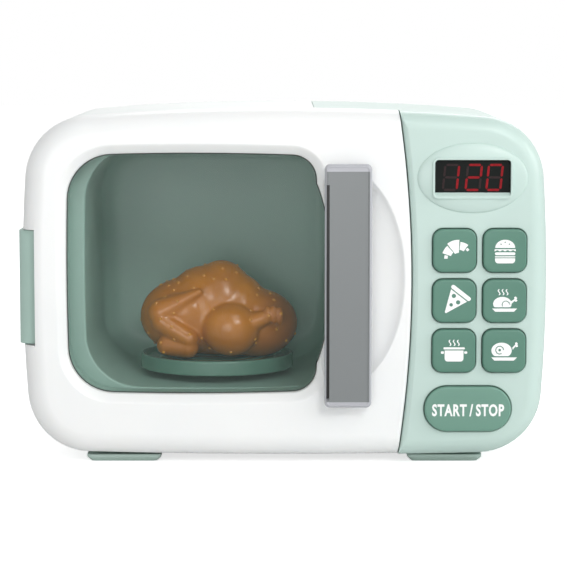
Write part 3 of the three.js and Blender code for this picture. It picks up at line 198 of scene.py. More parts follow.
def swollen(
    x: float, z: float, half_width: float, half_height: float, profile: Iterable[Point],
) -> list[Ring]:
    """Rings of an ellipse that grows and shrinks with depth.

    Args:
        x: Middle, across.
        z: Middle, upwards.
        half_width: Half its width.
        half_height: Half its height.
        profile: Pairs of depth and growth.

    Returns:
        The rings, in the profile's order.
    """
    return [flat(ellipse(x, z, half_width + grow, half_height + grow), y) for y, grow in profile]


def quarter_turn(steps: int) -> list[Point]:
    """How far an edge round has come in and forward at each step, for a radius of one."""
    angles = [pi / 2 * i / steps for i in range(steps + 1)]
    return [(1 - cos(angle), 1 - sin(angle)) for angle in angles]


@dataclass(frozen=True)
class Crowned:
    """An outline with bowed sides, a bowed top and bottom, and round corners.

    Attributes:
        x: Middle, across.
        z: Middle, upwards.
        width: Full width.
        height: Full height.
        top: Radius of the bowed top.
        bottom: Radius of the bowed bottom.
        side: Radius of the bowed sides.
        corner: Radius of the corners.
        right_corner: Radius of the right corners, where they differ.
        steps: Steps of the side, the corner and the top of each quarter.
    """

    x: float
    z: float
    width: float
    height: float
    top: float
    bottom: float
    side: float
    corner: float
    right_corner: float = 0.0
    steps: tuple[int, int, int] = (4, 12, 6)

    def _quarter(self, inset: float, crown: float, round_corner: float) -> list[Point]:
        """One quarter of the outline.

        Args:
            inset: Distance the outline is set in.
            crown: Radius of the bowed top or bottom.
            round_corner: Radius of the corner.

        Returns:
            Points from the middle of the side to the middle of the top.
        """
        side_radius, top_radius, corner = self.side - inset, crown - inset, round_corner - inset
        side = Vector((self.width / 2 - inset - side_radius, 0.0))
        top = Vector((0.0, self.height / 2 - inset - top_radius))
        reach = (side - top).length
        along = ((top_radius - corner) ** 2 - (side_radius - corner) ** 2 + reach**2) / (2 * reach)
        across = sqrt((top_radius - corner) ** 2 - along**2)
        unit = (side - top) / reach
        normal = Vector((-unit.y, unit.x))
        centre = max((top + unit * along + normal * across * turn for turn in (1, -1)), key=sum)
        low = atan2(centre.y - side.y, centre.x - side.x)
        high = atan2(centre.y - top.y, centre.x - top.x)
        return (
            arc(side, side_radius, 0.0, low, self.steps[0])
            + arc(centre, corner, low, high, self.steps[1])[1:]
            + arc(top, top_radius, high, pi / 2, self.steps[2])[1:]
        )

    def outline(self, inset: float = 0.0) -> list[Point]:
        """The closed outline, set in by a parallel offset.

        Args:
            inset: Distance it is set in.

        Returns:
            The outline.
        """
        right = self.right_corner or self.corner
        upper = self._quarter(inset, self.top, self.corner)
        lower = self._quarter(inset, self.bottom, self.corner)
        ring = self._quarter(inset, self.top, right) + [(-x, z) for x, z in upper[-2::-1]]
        ring += [(-x, -z) for x, z in lower[1:]]
        ring += [(x, -z) for x, z in self._quarter(inset, self.bottom, right)[-2:0:-1]]
        return [(x + self.x, z + self.z) for x, z in ring]

    def block(
        self, name: str, inset: float, front: float, back: float,
        round_front: float = 0.0, round_back: float = 0.0, steps: int = 8,
    ) -> Piece:
        """A block with its front or back edge rounded.

        Args:
            name: Name of the new object.
            inset: Distance the outline is set in.
            front: Depth of the front face.
            back: Depth of the back face.
            round_front: Radius of the front edge.
            round_back: Radius of the back edge.
            steps: Steps of each round.

        Returns:
            The closed solid.
        """
        turn = quarter_turn(steps)
        rings = [
            flat(self.outline(inset + round_front * inwards), front + round_front * forwards)
            for inwards, forwards in (turn[::-1] if round_front else turn[:1])
        ]
        return Bench.stack(name, rings + [
            flat(self.outline(inset + round_back * inwards), back - round_back * forwards)
            for inwards, forwards in (turn if round_back else turn[:1])
        ])


CABINET = Crowned(0.0, MID_Z, 280.0, 186.0, 1400.0, 4000.0, 800.0, 34.0)
WINDOW = Crowned(-48.95, 102.625, 134.3, 128.95, 1500.0, 1500.0, 1500.0, 24.5, 13.3)
CAVITY = Crowned(-38.0, 104.0, 139.4, 131.0, 1500.0, 1500.0, 1500.0, 29.0)


class Bench:
    """Hand tools: each mesh starts as a primitive and is shaped by operators."""

    @staticmethod
    def clear() -> None:
        """Deselects every object."""
        bpy.ops.object.select_all(action="DESELECT")

    @staticmethod
    def enter() -> None:
        """Opens the active object's mesh with all of it selected."""
        bpy.ops.object.mode_set(mode="EDIT")
        bpy.ops.mesh.select_all(action="SELECT")

    @staticmethod
    def pick(piece: Piece) -> None:
        """Makes one object the only one selected, and active.

        Args:
            piece: The object.
        """
        Bench.clear()
        piece.select_set(True)
        bpy.context.view_layer.objects.active = piece

    @staticmethod
    def stack(name: str, rings: list[Ring]) -> Piece:
        """Extrudes a loop through rings of equal length and fills both ends.

        Args:
            name: Name of the new object.
            rings: Places of the loop, in local millimetres.

        Returns:
            The closed solid.
        """
        Bench.clear()
        bpy.ops.mesh.primitive_circle_add(vertices=len(rings[0]), radius=1.0, fill_type="NOTHING")
        piece = bpy.context.active_object
        piece.name = piece.data.name = name
        piece.data.attributes.new("seat", "INT", "POINT")
        piece.data.attributes.new("tier", "INT", "POINT")
        for vertex, seat in zip(piece.data.vertices, piece.data.attributes["seat"].data):
            seat.value = vertex.index
        bpy.ops.object.mode_set(mode="EDIT")
        bpy.ops.mesh.select_mode(type="VERT")
        bpy.ops.mesh.select_all(action="SELECT")
        for tier, ring in enumerate(rings):
            if tier:
                bpy.ops.mesh.extrude_region_move()
            Bench._seat(piece, ring, tier)
        for tier in (0, len(rings) - 1):
            Bench._pick_tier(piece, tier)
            bpy.ops.mesh.edge_face_add()
        bpy.ops.mesh.select_all(action="SELECT")
        bpy.ops.mesh.normals_make_consistent(inside=False)
        bpy.ops.object.mode_set(mode="OBJECT")
        for layer in ("seat", "tier"):
            piece.data.attributes.remove(piece.data.attributes[layer])
        return piece

    @staticmethod
    def _seat(piece: Piece, ring: Ring, tier: int) -> None:
        """Moves the selected loop to the places of a ring.

        Args:
            piece: Object in edit mode.
            ring: Places of the loop.
            tier: Number of the loop.
        """
        mesh = bmesh.from_edit_mesh(piece.data)
        seats, tiers = mesh.verts.layers.int["seat"], mesh.verts.layers.int["tier"]
        for vertex in mesh.verts:
            if vertex.select:
                vertex.co = place(*ring[vertex[seats]])
                vertex[tiers] = tier
        bmesh.update_edit_mesh(piece.data)

    @staticmethod
    def _pick_tier(piece: Piece, tier: int) -> None:
        """Selects one loop of a stack.

        Args:
            piece: Object in edit mode.
            tier: Number of the loop.
        """
        bpy.ops.mesh.select_all(action="DESELECT")
        mesh = bmesh.from_edit_mesh(piece.data)
        tiers = mesh.verts.layers.int["tier"]
        for vertex in mesh.verts:
            vertex.select = vertex[tiers] == tier
        mesh.select_flush(True)
        bmesh.update_edit_mesh(piece.data)

    @staticmethod
    def prism(name: str, points: list[Point], front: float, back: float) -> Piece:
        """A straight solid of one outline between two depths."""
        return Bench.stack(name, [flat(points, front), flat(points, back)])

    @staticmethod
    def swell(
        name: str, x: float, z: float, width: float, height: float, corner: float,
        profile: Iterable[Point], slack: float = 0.0, steps: int = 8,
    ) -> Piece:
        """A round-cornered block that grows and shrinks with depth.

        Args:
            name: Name of the new object.
            x: Middle, across.
            z: Middle, upwards.
            width: Full width.
            height: Full height.
            corner: Corner radius, which grows as well.
            profile: Pairs of depth and growth.
            slack: What the corner radius stays short of.
            steps: Steps of each corner.

        Returns:
            The closed solid.
        """
        return Bench.stack(name, [
            flat(
                rounded(x, z, width + 2 * grow, height + 2 * grow, corner + grow - slack, steps), y,
            )
            for y, grow in profile
        ])

    @staticmethod
    def rod(
        name: str, x: float, z: float, radius: float, front: float, back: float, steps: int = 40,
    ) -> Piece:
        """A round bar along the depth."""
        return Bench.prism(name, ellipse(x, z, radius, radius, steps), front, back)

    @staticmethod
    def post(
        name: str, x: float, y: float, profile: list[Point], steps: int = 48,
    ) -> Piece:
        """A turned solid on an upright axis.

        Args:
            name: Name of the new object.
            x: Place of the axis, across.
            y: Place of the axis, in depth.
            profile: Pairs of radius and height.
            steps: Steps round the axis.

        Returns:
            The closed solid.
        """
        return Bench.stack(name, [
            [(px, py, height) for px, py in ellipse(x, y, radius, radius, steps)]
            for radius, height in profile
        ])

    @staticmethod
    def slab(name: str, low: Triple, high: Triple) -> Piece:
        """A plain block between two corners, for cuts."""
        corners = [(low[0], low[2]), (high[0], low[2]), (high[0], high[2]), (low[0], high[2])]
        return Bench.prism(name, corners, low[1], high[1])

    @staticmethod
    def modify(piece: Piece, kind: str, **values: object) -> Piece:
        """Puts a modifier on a piece and applies it.

        Args:
            piece: Object to work on.
            kind: Blender's name of the modifier type.
            values: Its settings, by name.

        Returns:
            The same object.
        """
        Bench.pick(piece)
        modifier = piece.modifiers.new(kind, kind)
        for key, value in values.items():
            setattr(modifier, key, value)
        bpy.ops.object.modifier_apply(modifier=modifier.name)
        return piece

    @staticmethod
    def carve(target: Piece, cut: Cut, *tools: Piece) -> Piece:
        """Works tools on a solid one after another and throws the tools away.

        Args:
            target: Solid that is kept.
            cut: What each tool does.
            tools: Solids that do it.

        Returns:
            The target.
        """
        for tool in tools:
            Bench.modify(target, "BOOLEAN", operation=cut.value, solver="MANIFOLD", object=tool)
            bpy.data.objects.remove(tool, do_unlink=True)
        return target

    @staticmethod
    def soften(piece: Piece, width: float, segments: int = 3, angle: float = 50.0) -> None:
        """Rounds every edge sharper than an angle.

        Args:
            piece: Object to work on.
            width: Width of the round in millimetres.
            segments: Segments of the round.
            angle: Smallest angle in degrees.
        """
        Bench.modify(
            piece, "BEVEL", width=width * MM, segments=segments, limit_method="ANGLE",
            angle_limit=radians(angle), use_clamp_overlap=True,
        )

    @staticmethod
    def smooth(piece: Piece, angle: float = 32.0) -> Piece:
        """Shades a piece smooth up to an angle, with flat faces kept flat.

        Args:
            piece: Object to shade.
            angle: Largest smooth angle in degrees.

        Returns:
            The same object.
        """
        Bench.pick(piece)
        bpy.ops.object.shade_smooth_by_angle(angle=radians(angle))
        return Bench.modify(piece, "WEIGHTED_NORMAL", weight=100, keep_sharp=True)

    @staticmethod
    def join(name: str, pieces: list[Piece]) -> Piece:
        """Puts several meshes into one object.

        Args:
            name: Name of the whole.
            pieces: Objects that go into it.

        Returns:
            The joined object.
        """
        Bench.pick(pieces[0])
        for piece in pieces:
            piece.select_set(True)
        bpy.ops.object.join()
        whole = bpy.context.active_object
        whole.name = whole.data.name = name
        return whole

    @staticmethod
    def copy(piece: Piece, name: str) -> Piece:
        """A copy with a mesh of its own.

        Args:
            piece: Object to copy.
            name: Name of the copy.

        Returns:
            The copy.
        """
        twin = piece.copy()
        twin.data = piece.data.copy()
        twin.name = twin.data.name = name
        bpy.context.collection.objects.link(twin)
        return twin

    @staticmethod
    def settle(piece: Piece) -> Piece:
        """Moves an object's place, turn and scale into its mesh.

        Args:
            piece: The object.

        Returns:
            The same object.
        """
        Bench.pick(piece)
        bpy.ops.object.transform_apply(location=True, rotation=True, scale=True)
        return piece


# Finishes
def srgb(code: str) -> Colour:
    """Turns a hex colour, as seen on a screen, into Blender's linear one."""
    channels = (int(code[i:i + 2], 16) / 255 for i in (0, 2, 4))
    return tuple(c / 12.92 if c <= 0.04045 else ((c + 0.055) / 1.055) ** 2.4 for c in channels)


class Nodes:
    """A small helper that places and links nodes in one tree."""

    def __init__(self, tree: bpy.types.NodeTree) -> None:
        """Keeps the tree that nodes go into."""
        self.tree = tree

    def at(self) -> Socket:
        """The piece's own coordinates, from one node of the tree."""
        node = self.tree.nodes.get("place") or self.add("ShaderNodeTexCoord", name="place")
        return node.outputs["Object"]

    def add(self, kind: str, **values: object) -> bpy.types.Node:
        """Adds a node.

        Args:
            kind: Blender's name of the node type.
            values: Properties, or values of inputs, by name.

        Returns:
            The new node.
        """
        node = self.tree.nodes.new(kind)
        for key, value in values.items():
            socket = node.inputs.get(key.replace("_", " "))
            if socket is not None:
                self.feed(socket, value)
            else:
                setattr(node, key, value)
        return node

    def feed(self, socket: Socket, value: object) -> None:
        """Links an output to a socket, or sets its value.

        Args:
            socket: Input to feed.
            value: An output, or a plain value.
        """
        if isinstance(value, Socket):
            self.tree.links.new(value, socket)
        elif socket.type == "RGBA" and len(value) == 3:
            socket.default_value = (*value, 1.0)
        else:
            socket.default_value = value

    def math(self, operation: str, first: object, second: object = 0.0) -> Socket:
        """One Math node.

        Args:
            operation: Blender's name of the sum.
            first: First input.
            second: Second input.

        Returns:
            The result's socket.
        """
        node = self.add("ShaderNodeMath", operation=operation)
        self.feed(node.inputs[0], first)
        self.feed(node.inputs[1], second)
        return node.outputs[0]

    def product(self, first: object, *others: object) -> Socket:
        """Multiplies all inputs, two at a time.

        Args:
            first: First input.
            others: The other inputs.

        Returns:
            The result's socket.
        """
        for other in others:
            first = self.math("MULTIPLY", first, other)
        return first

    def near(self, value: object, middle: float, reach: float) -> Socket:
        """One where a value is closer to the middle than the reach, else nought."""
        away = self.math("ABSOLUTE", self.math("SUBTRACT", value, middle))
        return self.math("LESS_THAN", away, reach)

    def mix(self, share: object, first: object, second: object) -> Socket:
        """Mixes two colours by a share.

        Args:
            share: Share of the second colour.
            first: First colour.
            second: Second colour.

        Returns:
            The mixed colour's socket.
        """
        node = self.add("ShaderNodeMix", data_type="RGBA")
        for index, item in zip((0, 6, 7), (share, first, second)):
            self.feed(node.inputs[index], item)
        return node.outputs[2]

    def span(
        self, value: object, low: float, high: float, out_low: float = 0.0, out_high: float = 1.0,
    ) -> Socket:
        """Maps a range of values onto another, with the ends held.

        Args:
            value: The value.
            low: Start of its range.
            high: End of its range.
            out_low: Result at the start.
            out_high: Result at the end.

        Returns:
            The result's socket.
        """
        node = self.add("ShaderNodeMapRange")
        for index, item in enumerate((value, low, high, out_low, out_high)):
            self.feed(node.inputs[index], item)
        return node.outputs[0]

    def noise(self, scale: float, detail: float, roughness: float = 0.5) -> Socket:
        """Noise on the piece's own coordinates.

        Args:
            scale: Patches in a metre.
            detail: Layers of finer noise.
            roughness: Strength of the finer layers.

        Returns:
            The noise's socket.
        """
        node = self.add(
            "ShaderNodeTexNoise", Vector=self.at(), Scale=scale, Detail=detail, Roughness=roughness,
        )
        return node.outputs[0]


class Effects:
    """Node groups that several finishes share. Each is built once."""

    @staticmethod
    def _start(name: str, inputs: str, outputs: str) -> tuple[bpy.types.NodeTree, Nodes]:
        """Makes an empty group with named sockets.

        Args:
            name: Name of the group.
            inputs: Names of its inputs; colours are called Colour and Shade.
            outputs: Names of its outputs.

        Returns:
            The group and the helper that fills it.
        """
        tree = bpy.data.node_groups.new(name, "ShaderNodeTree")
        for way, labels in (("INPUT", inputs), ("OUTPUT", outputs)):
            for label in labels.split():
                kind = "NodeSocketColor" if label in ("Colour", "Shade") else "NodeSocketFloat"
                tree.interface.new_socket(label, in_out=way, socket_type=kind)
        return tree, Nodes(tree)

    @staticmethod
    def moulded() -> bpy.types.NodeTree:
        """Moulded plastic: a slow drift of tone, a fine grain, and flow marks.

        Returns:
            The group.
        """
        name = "moulded_plastic"
        if name in bpy.data.node_groups:
            return bpy.data.node_groups[name]
        tree, nodes = Effects._start(
            name, "Colour Shade Gloss Grain Drift", "Colour Roughness Height",
        )
        given = nodes.add("NodeGroupInput").outputs
        cloud = nodes.span(nodes.noise(14.0, 2.0), 0.38, 0.66)
        grain = nodes.noise(2600.0, 2.0, 0.6)
        marks = nodes.noise(90.0, 3.0, 0.55)
        colour = nodes.mix(nodes.product(cloud, given["Drift"]), given["Colour"], given["Shade"])
        uneven = nodes.span(marks, 0.3, 0.7, -0.008, 0.008)
        speckle = nodes.product(nodes.math("SUBTRACT", grain, 0.5), 0.12)
        rough = nodes.math("ADD", nodes.math("ADD", given["Gloss"], uneven), speckle)
        relief = nodes.math("ADD", grain, nodes.product(marks, 0.6))
        height = nodes.product(relief, given["Grain"])
        nodes.add("NodeGroupOutput", Colour=colour, Roughness=rough, Height=height)
        return tree

    @staticmethod
    def wear() -> bpy.types.NodeTree:
        """Handling: faint smudges that dull the gloss in patches.

        Returns:
            The group.
        """
        name = "handling"
        if name in bpy.data.node_groups:
            return bpy.data.node_groups[name]
        tree, nodes = Effects._start(name, "Roughness Amount", "Roughness")
        given = nodes.add("NodeGroupInput").outputs
        mask = nodes.span(nodes.noise(38.0, 5.0, 0.6), 0.5, 0.72)
        rough = nodes.math("ADD", given["Roughness"], nodes.product(mask, given["Amount"]))
        nodes.add("NodeGroupOutput", Roughness=rough)
        return tree


@dataclass(frozen=True)
class Finish:
    """A material that is built once and then found by its name.

    Attributes:
        name: Name of the material.
        colour: Screen colour.
    """

    name: str
    colour: str

    def material(self) -> bpy.types.Material:
        """Builds the material, or finds it once built.

        Returns:
            The material.
        """
        if self.name in bpy.data.materials:
            return bpy.data.materials[self.name]
        material = bpy.data.materials.new(self.name)
        material.use_nodes = True
        self.paint(Nodes(material.node_tree), material.node_tree.nodes["Principled BSDF"])
        return material

    def paint(self, nodes: Nodes, shader: Shader) -> None:
        """Feeds the shader; each kind of finish has its own way."""
        raise NotImplementedError

    def toned(self, nodes: Nodes, tone: Socket, share: float) -> Socket:
        """Mixes the colour with a darker one, by a tone between nought and one."""
        darker = tuple(share * channel for channel in srgb(self.colour))
        return nodes.mix(tone, srgb(self.colour), darker)


@dataclass(frozen=True)
class Moulded(Finish):
    """Injection-moulded plastic.

    Attributes:
        shade: Screen colour that it drifts towards.
        gloss: Roughness of the surface.
        grain: Strength of the fine grain.
        drift: How far the tone drifts.
        smudge: Roughness that handling adds.
        soak: Share of light that soaks in.
        shine: Strength of the mirror-like reflection.
    """

    shade: str
    gloss: float = 0.34
    grain: float = 0.25
    drift: float = 0.5
    smudge: float = 0.05
    soak: float = 0.0
    shine: float = 0.5

    def paint(self, nodes: Nodes, shader: Shader) -> None:
        """Feeds the shader from the shared groups.

        Args:
            nodes: Helper of the material's tree.
            shader: Its shader.
        """
        skin = nodes.add("ShaderNodeGroup", node_tree=Effects.moulded())
        for key, value in (
            ("Colour", srgb(self.colour)), ("Shade", srgb(self.shade)), ("Gloss", self.gloss),
            ("Grain", self.grain), ("Drift", self.drift),
        ):
            nodes.feed(skin.inputs[key], value)
        wear = nodes.add("ShaderNodeGroup", node_tree=Effects.wear())
        nodes.feed(wear.inputs["Roughness"], skin.outputs["Roughness"])
        nodes.feed(wear.inputs["Amount"], self.smudge)
        nodes.feed(shader.inputs["Base Color"], self.tint(nodes, skin.outputs["Colour"]))
        nodes.feed(shader.inputs["Roughness"], wear.outputs["Roughness"])
        bump = nodes.add(
            "ShaderNodeBump", Strength=0.35, Distance=0.00004, Height=skin.outputs["Height"],
        )
        nodes.feed(shader.inputs["Normal"], bump.outputs[0])
        nodes.feed(shader.inputs["Specular IOR Level"], self.shine)
        if self.soak:
            nodes.feed(shader.inputs["Subsurface Weight"], self.soak)
            nodes.feed(shader.inputs["Subsurface Radius"], (1.0, 0.8, 0.6))
            nodes.feed(shader.inputs["Subsurface Scale"], 0.003)

    def tint(self, nodes: Nodes, colour: Socket) -> Socket:
        """Lets a kind of plastic change its colour over the surface."""
        return colour


@dataclass(frozen=True)
class Bordered(Moulded):
    """Plastic with a panel of another colour, as on the handle's face, and a groove painted
    near-black as shade, in metres.

    Attributes:
        inner: Screen colour of the panel.
        dark: Screen colour painted into the groove beside it, a painted shade.
        middle: Middle of the panel, across and upwards.
        half: Half its width and height.
        face: Depth in front of which the panel shows.
        groove: Middle and half width of the groove.
        span: Middle and half height of the groove.
        sunk: Depth in front of which the groove shows.
    """

    inner: str = "7f8384"
    dark: str = "0c0e0f"
    middle: Point = (0.0345, 0.0968)
    half: Point = (0.0114, 0.0611)
    face: float = -0.0822
    groove: Point = (0.02385, 0.0008)
    span: Point = (0.094, 0.0567)
    sunk: float = -0.0785

    def tint(self, nodes: Nodes, colour: Socket) -> Socket:
        """Colours the panel, and paints shade into the groove.

        Args:
            nodes: Helper of the material's tree.
            colour: Colour of the rim.

        Returns:
            The colour's socket.
        """
        across, depth, up = nodes.add("ShaderNodeSeparateXYZ", Vector=nodes.at()).outputs
        panel = nodes.product(
            nodes.near(across, self.middle[0], self.half[0]),
            nodes.near(up, self.middle[1], self.half[1]),
            nodes.math("LESS_THAN", depth, self.face),
        )
        # painted shade: the groove's faces get a near-black colour that stands for the shade along
        # the handle's left edge
        groove = nodes.product(
            nodes.near(across, *self.groove), nodes.near(up, *self.span),
            nodes.math("LESS_THAN", depth, self.sunk),
        )
        return nodes.mix(groove, nodes.mix(panel, colour, srgb(self.inner)), srgb(self.dark))


@dataclass(frozen=True)
class Roast(Moulded):
    """Roast-brown plastic, with painted shade darkening it underneath, and redder at its tail.

    Attributes:
        browned: Screen colour of its browned patches.
        under: Screen colour painted on its underside as shade.
        tail: Screen colour of its tail.
    """

    browned: str = "9a560c"
    under: str = "7e420c"
    tail: str = "9a4a2e"

    def tint(self, nodes: Nodes, colour: Socket) -> Socket:
        """Browns patches, paints shade that darkens the underside, and warms the tail.

        Args:
            nodes: Helper of the material's tree.
            colour: Colour of the skin.

        Returns:
            The colour's socket.
        """
        across, _, up = nodes.add("ShaderNodeSeparateXYZ", Vector=nodes.at()).outputs
        patches = nodes.product(nodes.span(nodes.noise(45.0, 3.0), 0.42, 0.68), 0.35)
        colour = nodes.mix(patches, colour, srgb(self.browned))
        # painted shade: the lowest part of the bird, near the plate, is darkened by height
        colour = nodes.mix(nodes.span(up, 0.049, 0.070, 0.55, 0.0), colour, srgb(self.under))
        return nodes.mix(nodes.span(across, -0.020, 0.006, 0.0, 0.55), colour, srgb(self.tail))


@dataclass(frozen=True)
class Metal(Finish):
    """Drawn or plated metal with a fine lay.

    Attributes:
        gloss: Roughness.
        lay: Stretch of the lay along each axis.
    """

    gloss: float = 0.32
    lay: Triple = (900.0, 900.0, 60.0)

    def paint(self, nodes: Nodes, shader: Shader) -> None:
        """Feeds the shader from one stretched noise.

        Args:
            nodes: Helper of the material's tree.
            shader: Its shader.
        """
        nodes.feed(shader.inputs["Metallic"], 1.0)
        stretched = nodes.add("ShaderNodeMapping", Vector=nodes.at(), Scale=self.lay).outputs[0]
        lay = nodes.add("ShaderNodeTexNoise", Vector=stretched, Scale=1.0, Detail=3.0).outputs[0]
        tone = nodes.span(lay, 0.3, 0.7)
        dark = tuple(0.8 * channel for channel in srgb(self.colour))
        nodes.feed(shader.inputs["Base Color"], nodes.mix(tone, dark, srgb(self.colour)))
        rough = nodes.span(lay, 0.25, 0.75, self.gloss - 0.06, self.gloss + 0.08)
        nodes.feed(shader.inputs["Roughness"], rough)
        bump = nodes.add("ShaderNodeBump", Strength=0.2, Distance=0.00003, Height=lay)
        nodes.feed(shader.inputs["Normal"], bump.outputs[0])


@dataclass(frozen=True)
class Pane(Finish):
    """Clear moulded pane with a faint tint and handling marks.

    Attributes:
        gloss: Roughness of the surface.
        body: Share of the light that its faint veil stops.
    """

    gloss: float = 0.04
    body: float = 0.06

    def paint(self, nodes: Nodes, shader: Shader) -> None:
        """Feeds the shader from a thin film.

        Args:
            nodes: Helper of the material's tree.
            shader: Its shader.
        """
        nodes.feed(shader.inputs["Alpha"], self.body)
        film = nodes.noise(30.0, 4.0)
        nodes.feed(
            shader.inputs["Base Color"], self.toned(nodes, nodes.span(film, 0.35, 0.7), 0.97),
        )
        nodes.feed(
            shader.inputs["Roughness"], nodes.span(film, 0.4, 0.75, self.gloss, self.gloss + 0.03),
        )


@dataclass(frozen=True)
class Lamp(Finish):
    """A display segment, lit or dark.

    Attributes:
        strength: Strength of its light.
    """

    strength: float

    def paint(self, nodes: Nodes, shader: Shader) -> None:
        """Feeds the shader from a fine glow.

        Args:
            nodes: Helper of the material's tree.
            shader: Its shader.
        """
        colour = self.toned(nodes, nodes.span(nodes.noise(500.0, 1.0), 0.3, 0.7), 0.75)
        for key, value in (
            ("Base Color", colour), ("Emission Color", colour),
            ("Emission Strength", self.strength),
            ("Roughness", 0.4), ("Specular IOR Level", 0.1),
        ):
            nodes.feed(shader.inputs[key], value)


DOOR_WHITE = Moulded(
    "door_white", "f6f7f6", "eceff0", gloss=0.30, grain=0.1, drift=0.35, smudge=0.008, soak=0.05,
)
HOUSING_WHITE = Moulded(
    "housing_white", "f1f6f4", "e6eeeb", gloss=0.34, grain=0.18, drift=0.5, soak=0.04,
)
MINT = Moulded(
    "housing_mint", "c5dad3", "bed3cc", gloss=0.33, grain=0.15, drift=0.5, smudge=0.015, soak=0.04,
)
SAGE = Moulded("cavity_sage", "97b7ab", "8caa9f", gloss=0.34, grain=0.3, drift=0.6)
HINGE_SAGE = Moulded("hinge_sage", "adc8be", "a4beb4", gloss=0.38, grain=0.3)
FOOT_SAGE = Moulded("foot_sage", "b5cac1", "abc0b7", gloss=0.42, grain=0.35)
KEY_GREEN = Moulded("key_green", "588574", "517c6c", gloss=0.36, grain=0.25, drift=0.5, smudge=0.06)
PILL_GREEN = Moulded(
    "pill_green", "6f9a89", "678f80", gloss=0.36, grain=0.25, drift=0.5, smudge=0.06,
)
PLATE_GREEN = Moulded("plate_green", "448a6c", "3c7c60", gloss=0.26, grain=0.1, drift=0.5)
HANDLE = Bordered(
    "handle_silver", "b6b7bd", "b0b1b6", gloss=0.24, grain=0.06, drift=0.1, smudge=0.004,
)
LENS = Moulded(
    "lens_smoke", "1d201f", "161918", gloss=0.14, grain=0.03, drift=0.6, smudge=0.05, shine=0.1,
)
BLACK = Moulded("black_plastic", "242426", "1c1c1e", gloss=0.5, grain=0.5)
NYLON = Moulded("natural_nylon", "efeee6", "e4e2d6", gloss=0.45, grain=0.3, soak=0.1)
BOARD = Moulded("board_green", "2f6b45", "27593a", gloss=0.4, grain=0.4)
RUBBER = Moulded("silicone_grey", "b5b8b8", "a6a9a9", gloss=0.6, grain=0.5)
CELL = Moulded("cell_wrap", "3c4a52", "333f46", gloss=0.3, grain=0.1)
# painted shadow: dark colour of the ring that stands for the shade in the gap round the pane
PANE_SHADOW_PAINT = Moulded("edge_dark", "38433f", "2f3936", gloss=0.4, grain=0.2)
PRINT_WHITE = Moulded("print_white", "fbfcfb", "f2f4f2", gloss=0.4, grain=0.2, drift=0.3)
ROAST = Roast("roast_brown", "d28404", "bc6e02", gloss=0.2, grain=0.35, drift=0.8, soak=0.02)
PIMPLE = Moulded("roast_pimple", "e09a30", "cf8a24", gloss=0.2, grain=0.1)
STEEL = Metal("plated_steel", "c4c7ca")
GLASS = Pane("window_pane", "8fa09b")
RED_LIT = Lamp("segment_red", "8e1a21", 0.22)
RED_DARK = Lamp("segment_dark", "35292a", 0.01)


def fit(
    piece: Piece, body: str, slot: str, finish: Finish, *nodes: str,
) -> Piece:
    """Dresses a piece and hands it to the frame.

    Args:
        piece: Finished mesh.
        body: Body that it rides on.
        slot: Material slot of the record; not used.
        finish: Its finish.
        nodes: CAD nodes that it stands for.

    Returns:
        The piece.
    """
    piece.data.materials.clear()
    piece.data.materials.append(finish.material())
    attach(piece, body)
    if nodes:
        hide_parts(*nodes)
    LOG.info("%s rides on %s, %d faces", piece.name, body, len(piece.data.polygons))
    return piece


@dataclass
class Turned:
    """One cross-recessed screw, copied to every place that has one.

    Attributes:
        head: Radius of the head.
        rise: Height of the head.
        shank: Radius of the shank.
        length: Length of the shank.
        recess: Half the span of the cross.
        bar: Half the width of each bar of the cross.
    """

    head: float = 2.8
    rise: float = 1.8
    shank: float = 1.3
    length: float = 9.0
    recess: float = 1.5
    bar: float = 0.32
    first: Piece | None = None

    def build(self) -> Piece:
        """Turns the first screw about the depth axis, with its head's top at the origin.

        Returns:
            The screw.
        """
        profile = [
            (0.5, 0.0), (1.7, 0.04), (2.35, 0.22), (2.7, 0.55), (self.head, 1.0),
            (self.head, self.rise - 0.15), (self.head - 0.15, self.rise), (self.shank, self.rise),
        ]
        thread = self.rise
        while thread < self.rise + self.length - 1.2:
            profile += [(self.shank - 0.22, thread + 0.2), (self.shank, thread + 0.5)]
            thread += 0.9
        profile.append((0.35, self.rise + self.length))
        screw = Bench.stack("screw", [flat(ellipse(0.0, 0.0, r, r, 20), y) for r, y in profile])
        for wide, high in ((self.recess, self.bar), (self.bar, self.recess)):
            corners = [(-wide, -high), (wide, -high), (wide, high), (-wide, high)]
            tip = [(0.3 * x, 0.3 * z) if abs(x) > abs(z) else (x, 0.3 * z) for x, z in corners]
            cross = Bench.stack("cross", [flat(corners, -0.5), flat(corners, 0.1), flat(tip, 1.2)])
            Bench.carve(screw, Cut.AWAY, cross)
        return Bench.smooth(screw, 28.0)

    def fit_at(
        self, name: str, x: float, y: float, z: float, facing: Facing, body: str = "cabinet",
    ) -> None:
        """Copies the screw to one place.

        Args:
            name: CAD node that it stands for.
            x: Place of its axis, across.
            y: Depth of its head's top.
            z: Place of its axis, upwards.
            facing: The way its head looks.
            body: Body that it rides on.
        """
        if self.first is None:
            self.first = self.build()
        screw = Bench.copy(self.first, f"turned_{name}")
        turn = Vector(Facing.FRONT.value).rotation_difference(Vector(facing.value))
        turn = turn.to_matrix().to_4x4()
        if facing is Facing.BACK:
            turn = Matrix.Rotation(pi, 4, "Z")
        origin = Matrix.Translation(-place(0.0, 0.0, 0.0))
        screw.data.transform(Matrix.Translation(place(x, y, z)) @ turn @ origin)
        fit(screw, body, "steel", STEEL, name)

    def clear(self) -> None:
        """Throws the first screw away once every place has its copy."""
        if self.first is not None:
            bpy.data.objects.remove(self.first, do_unlink=True)


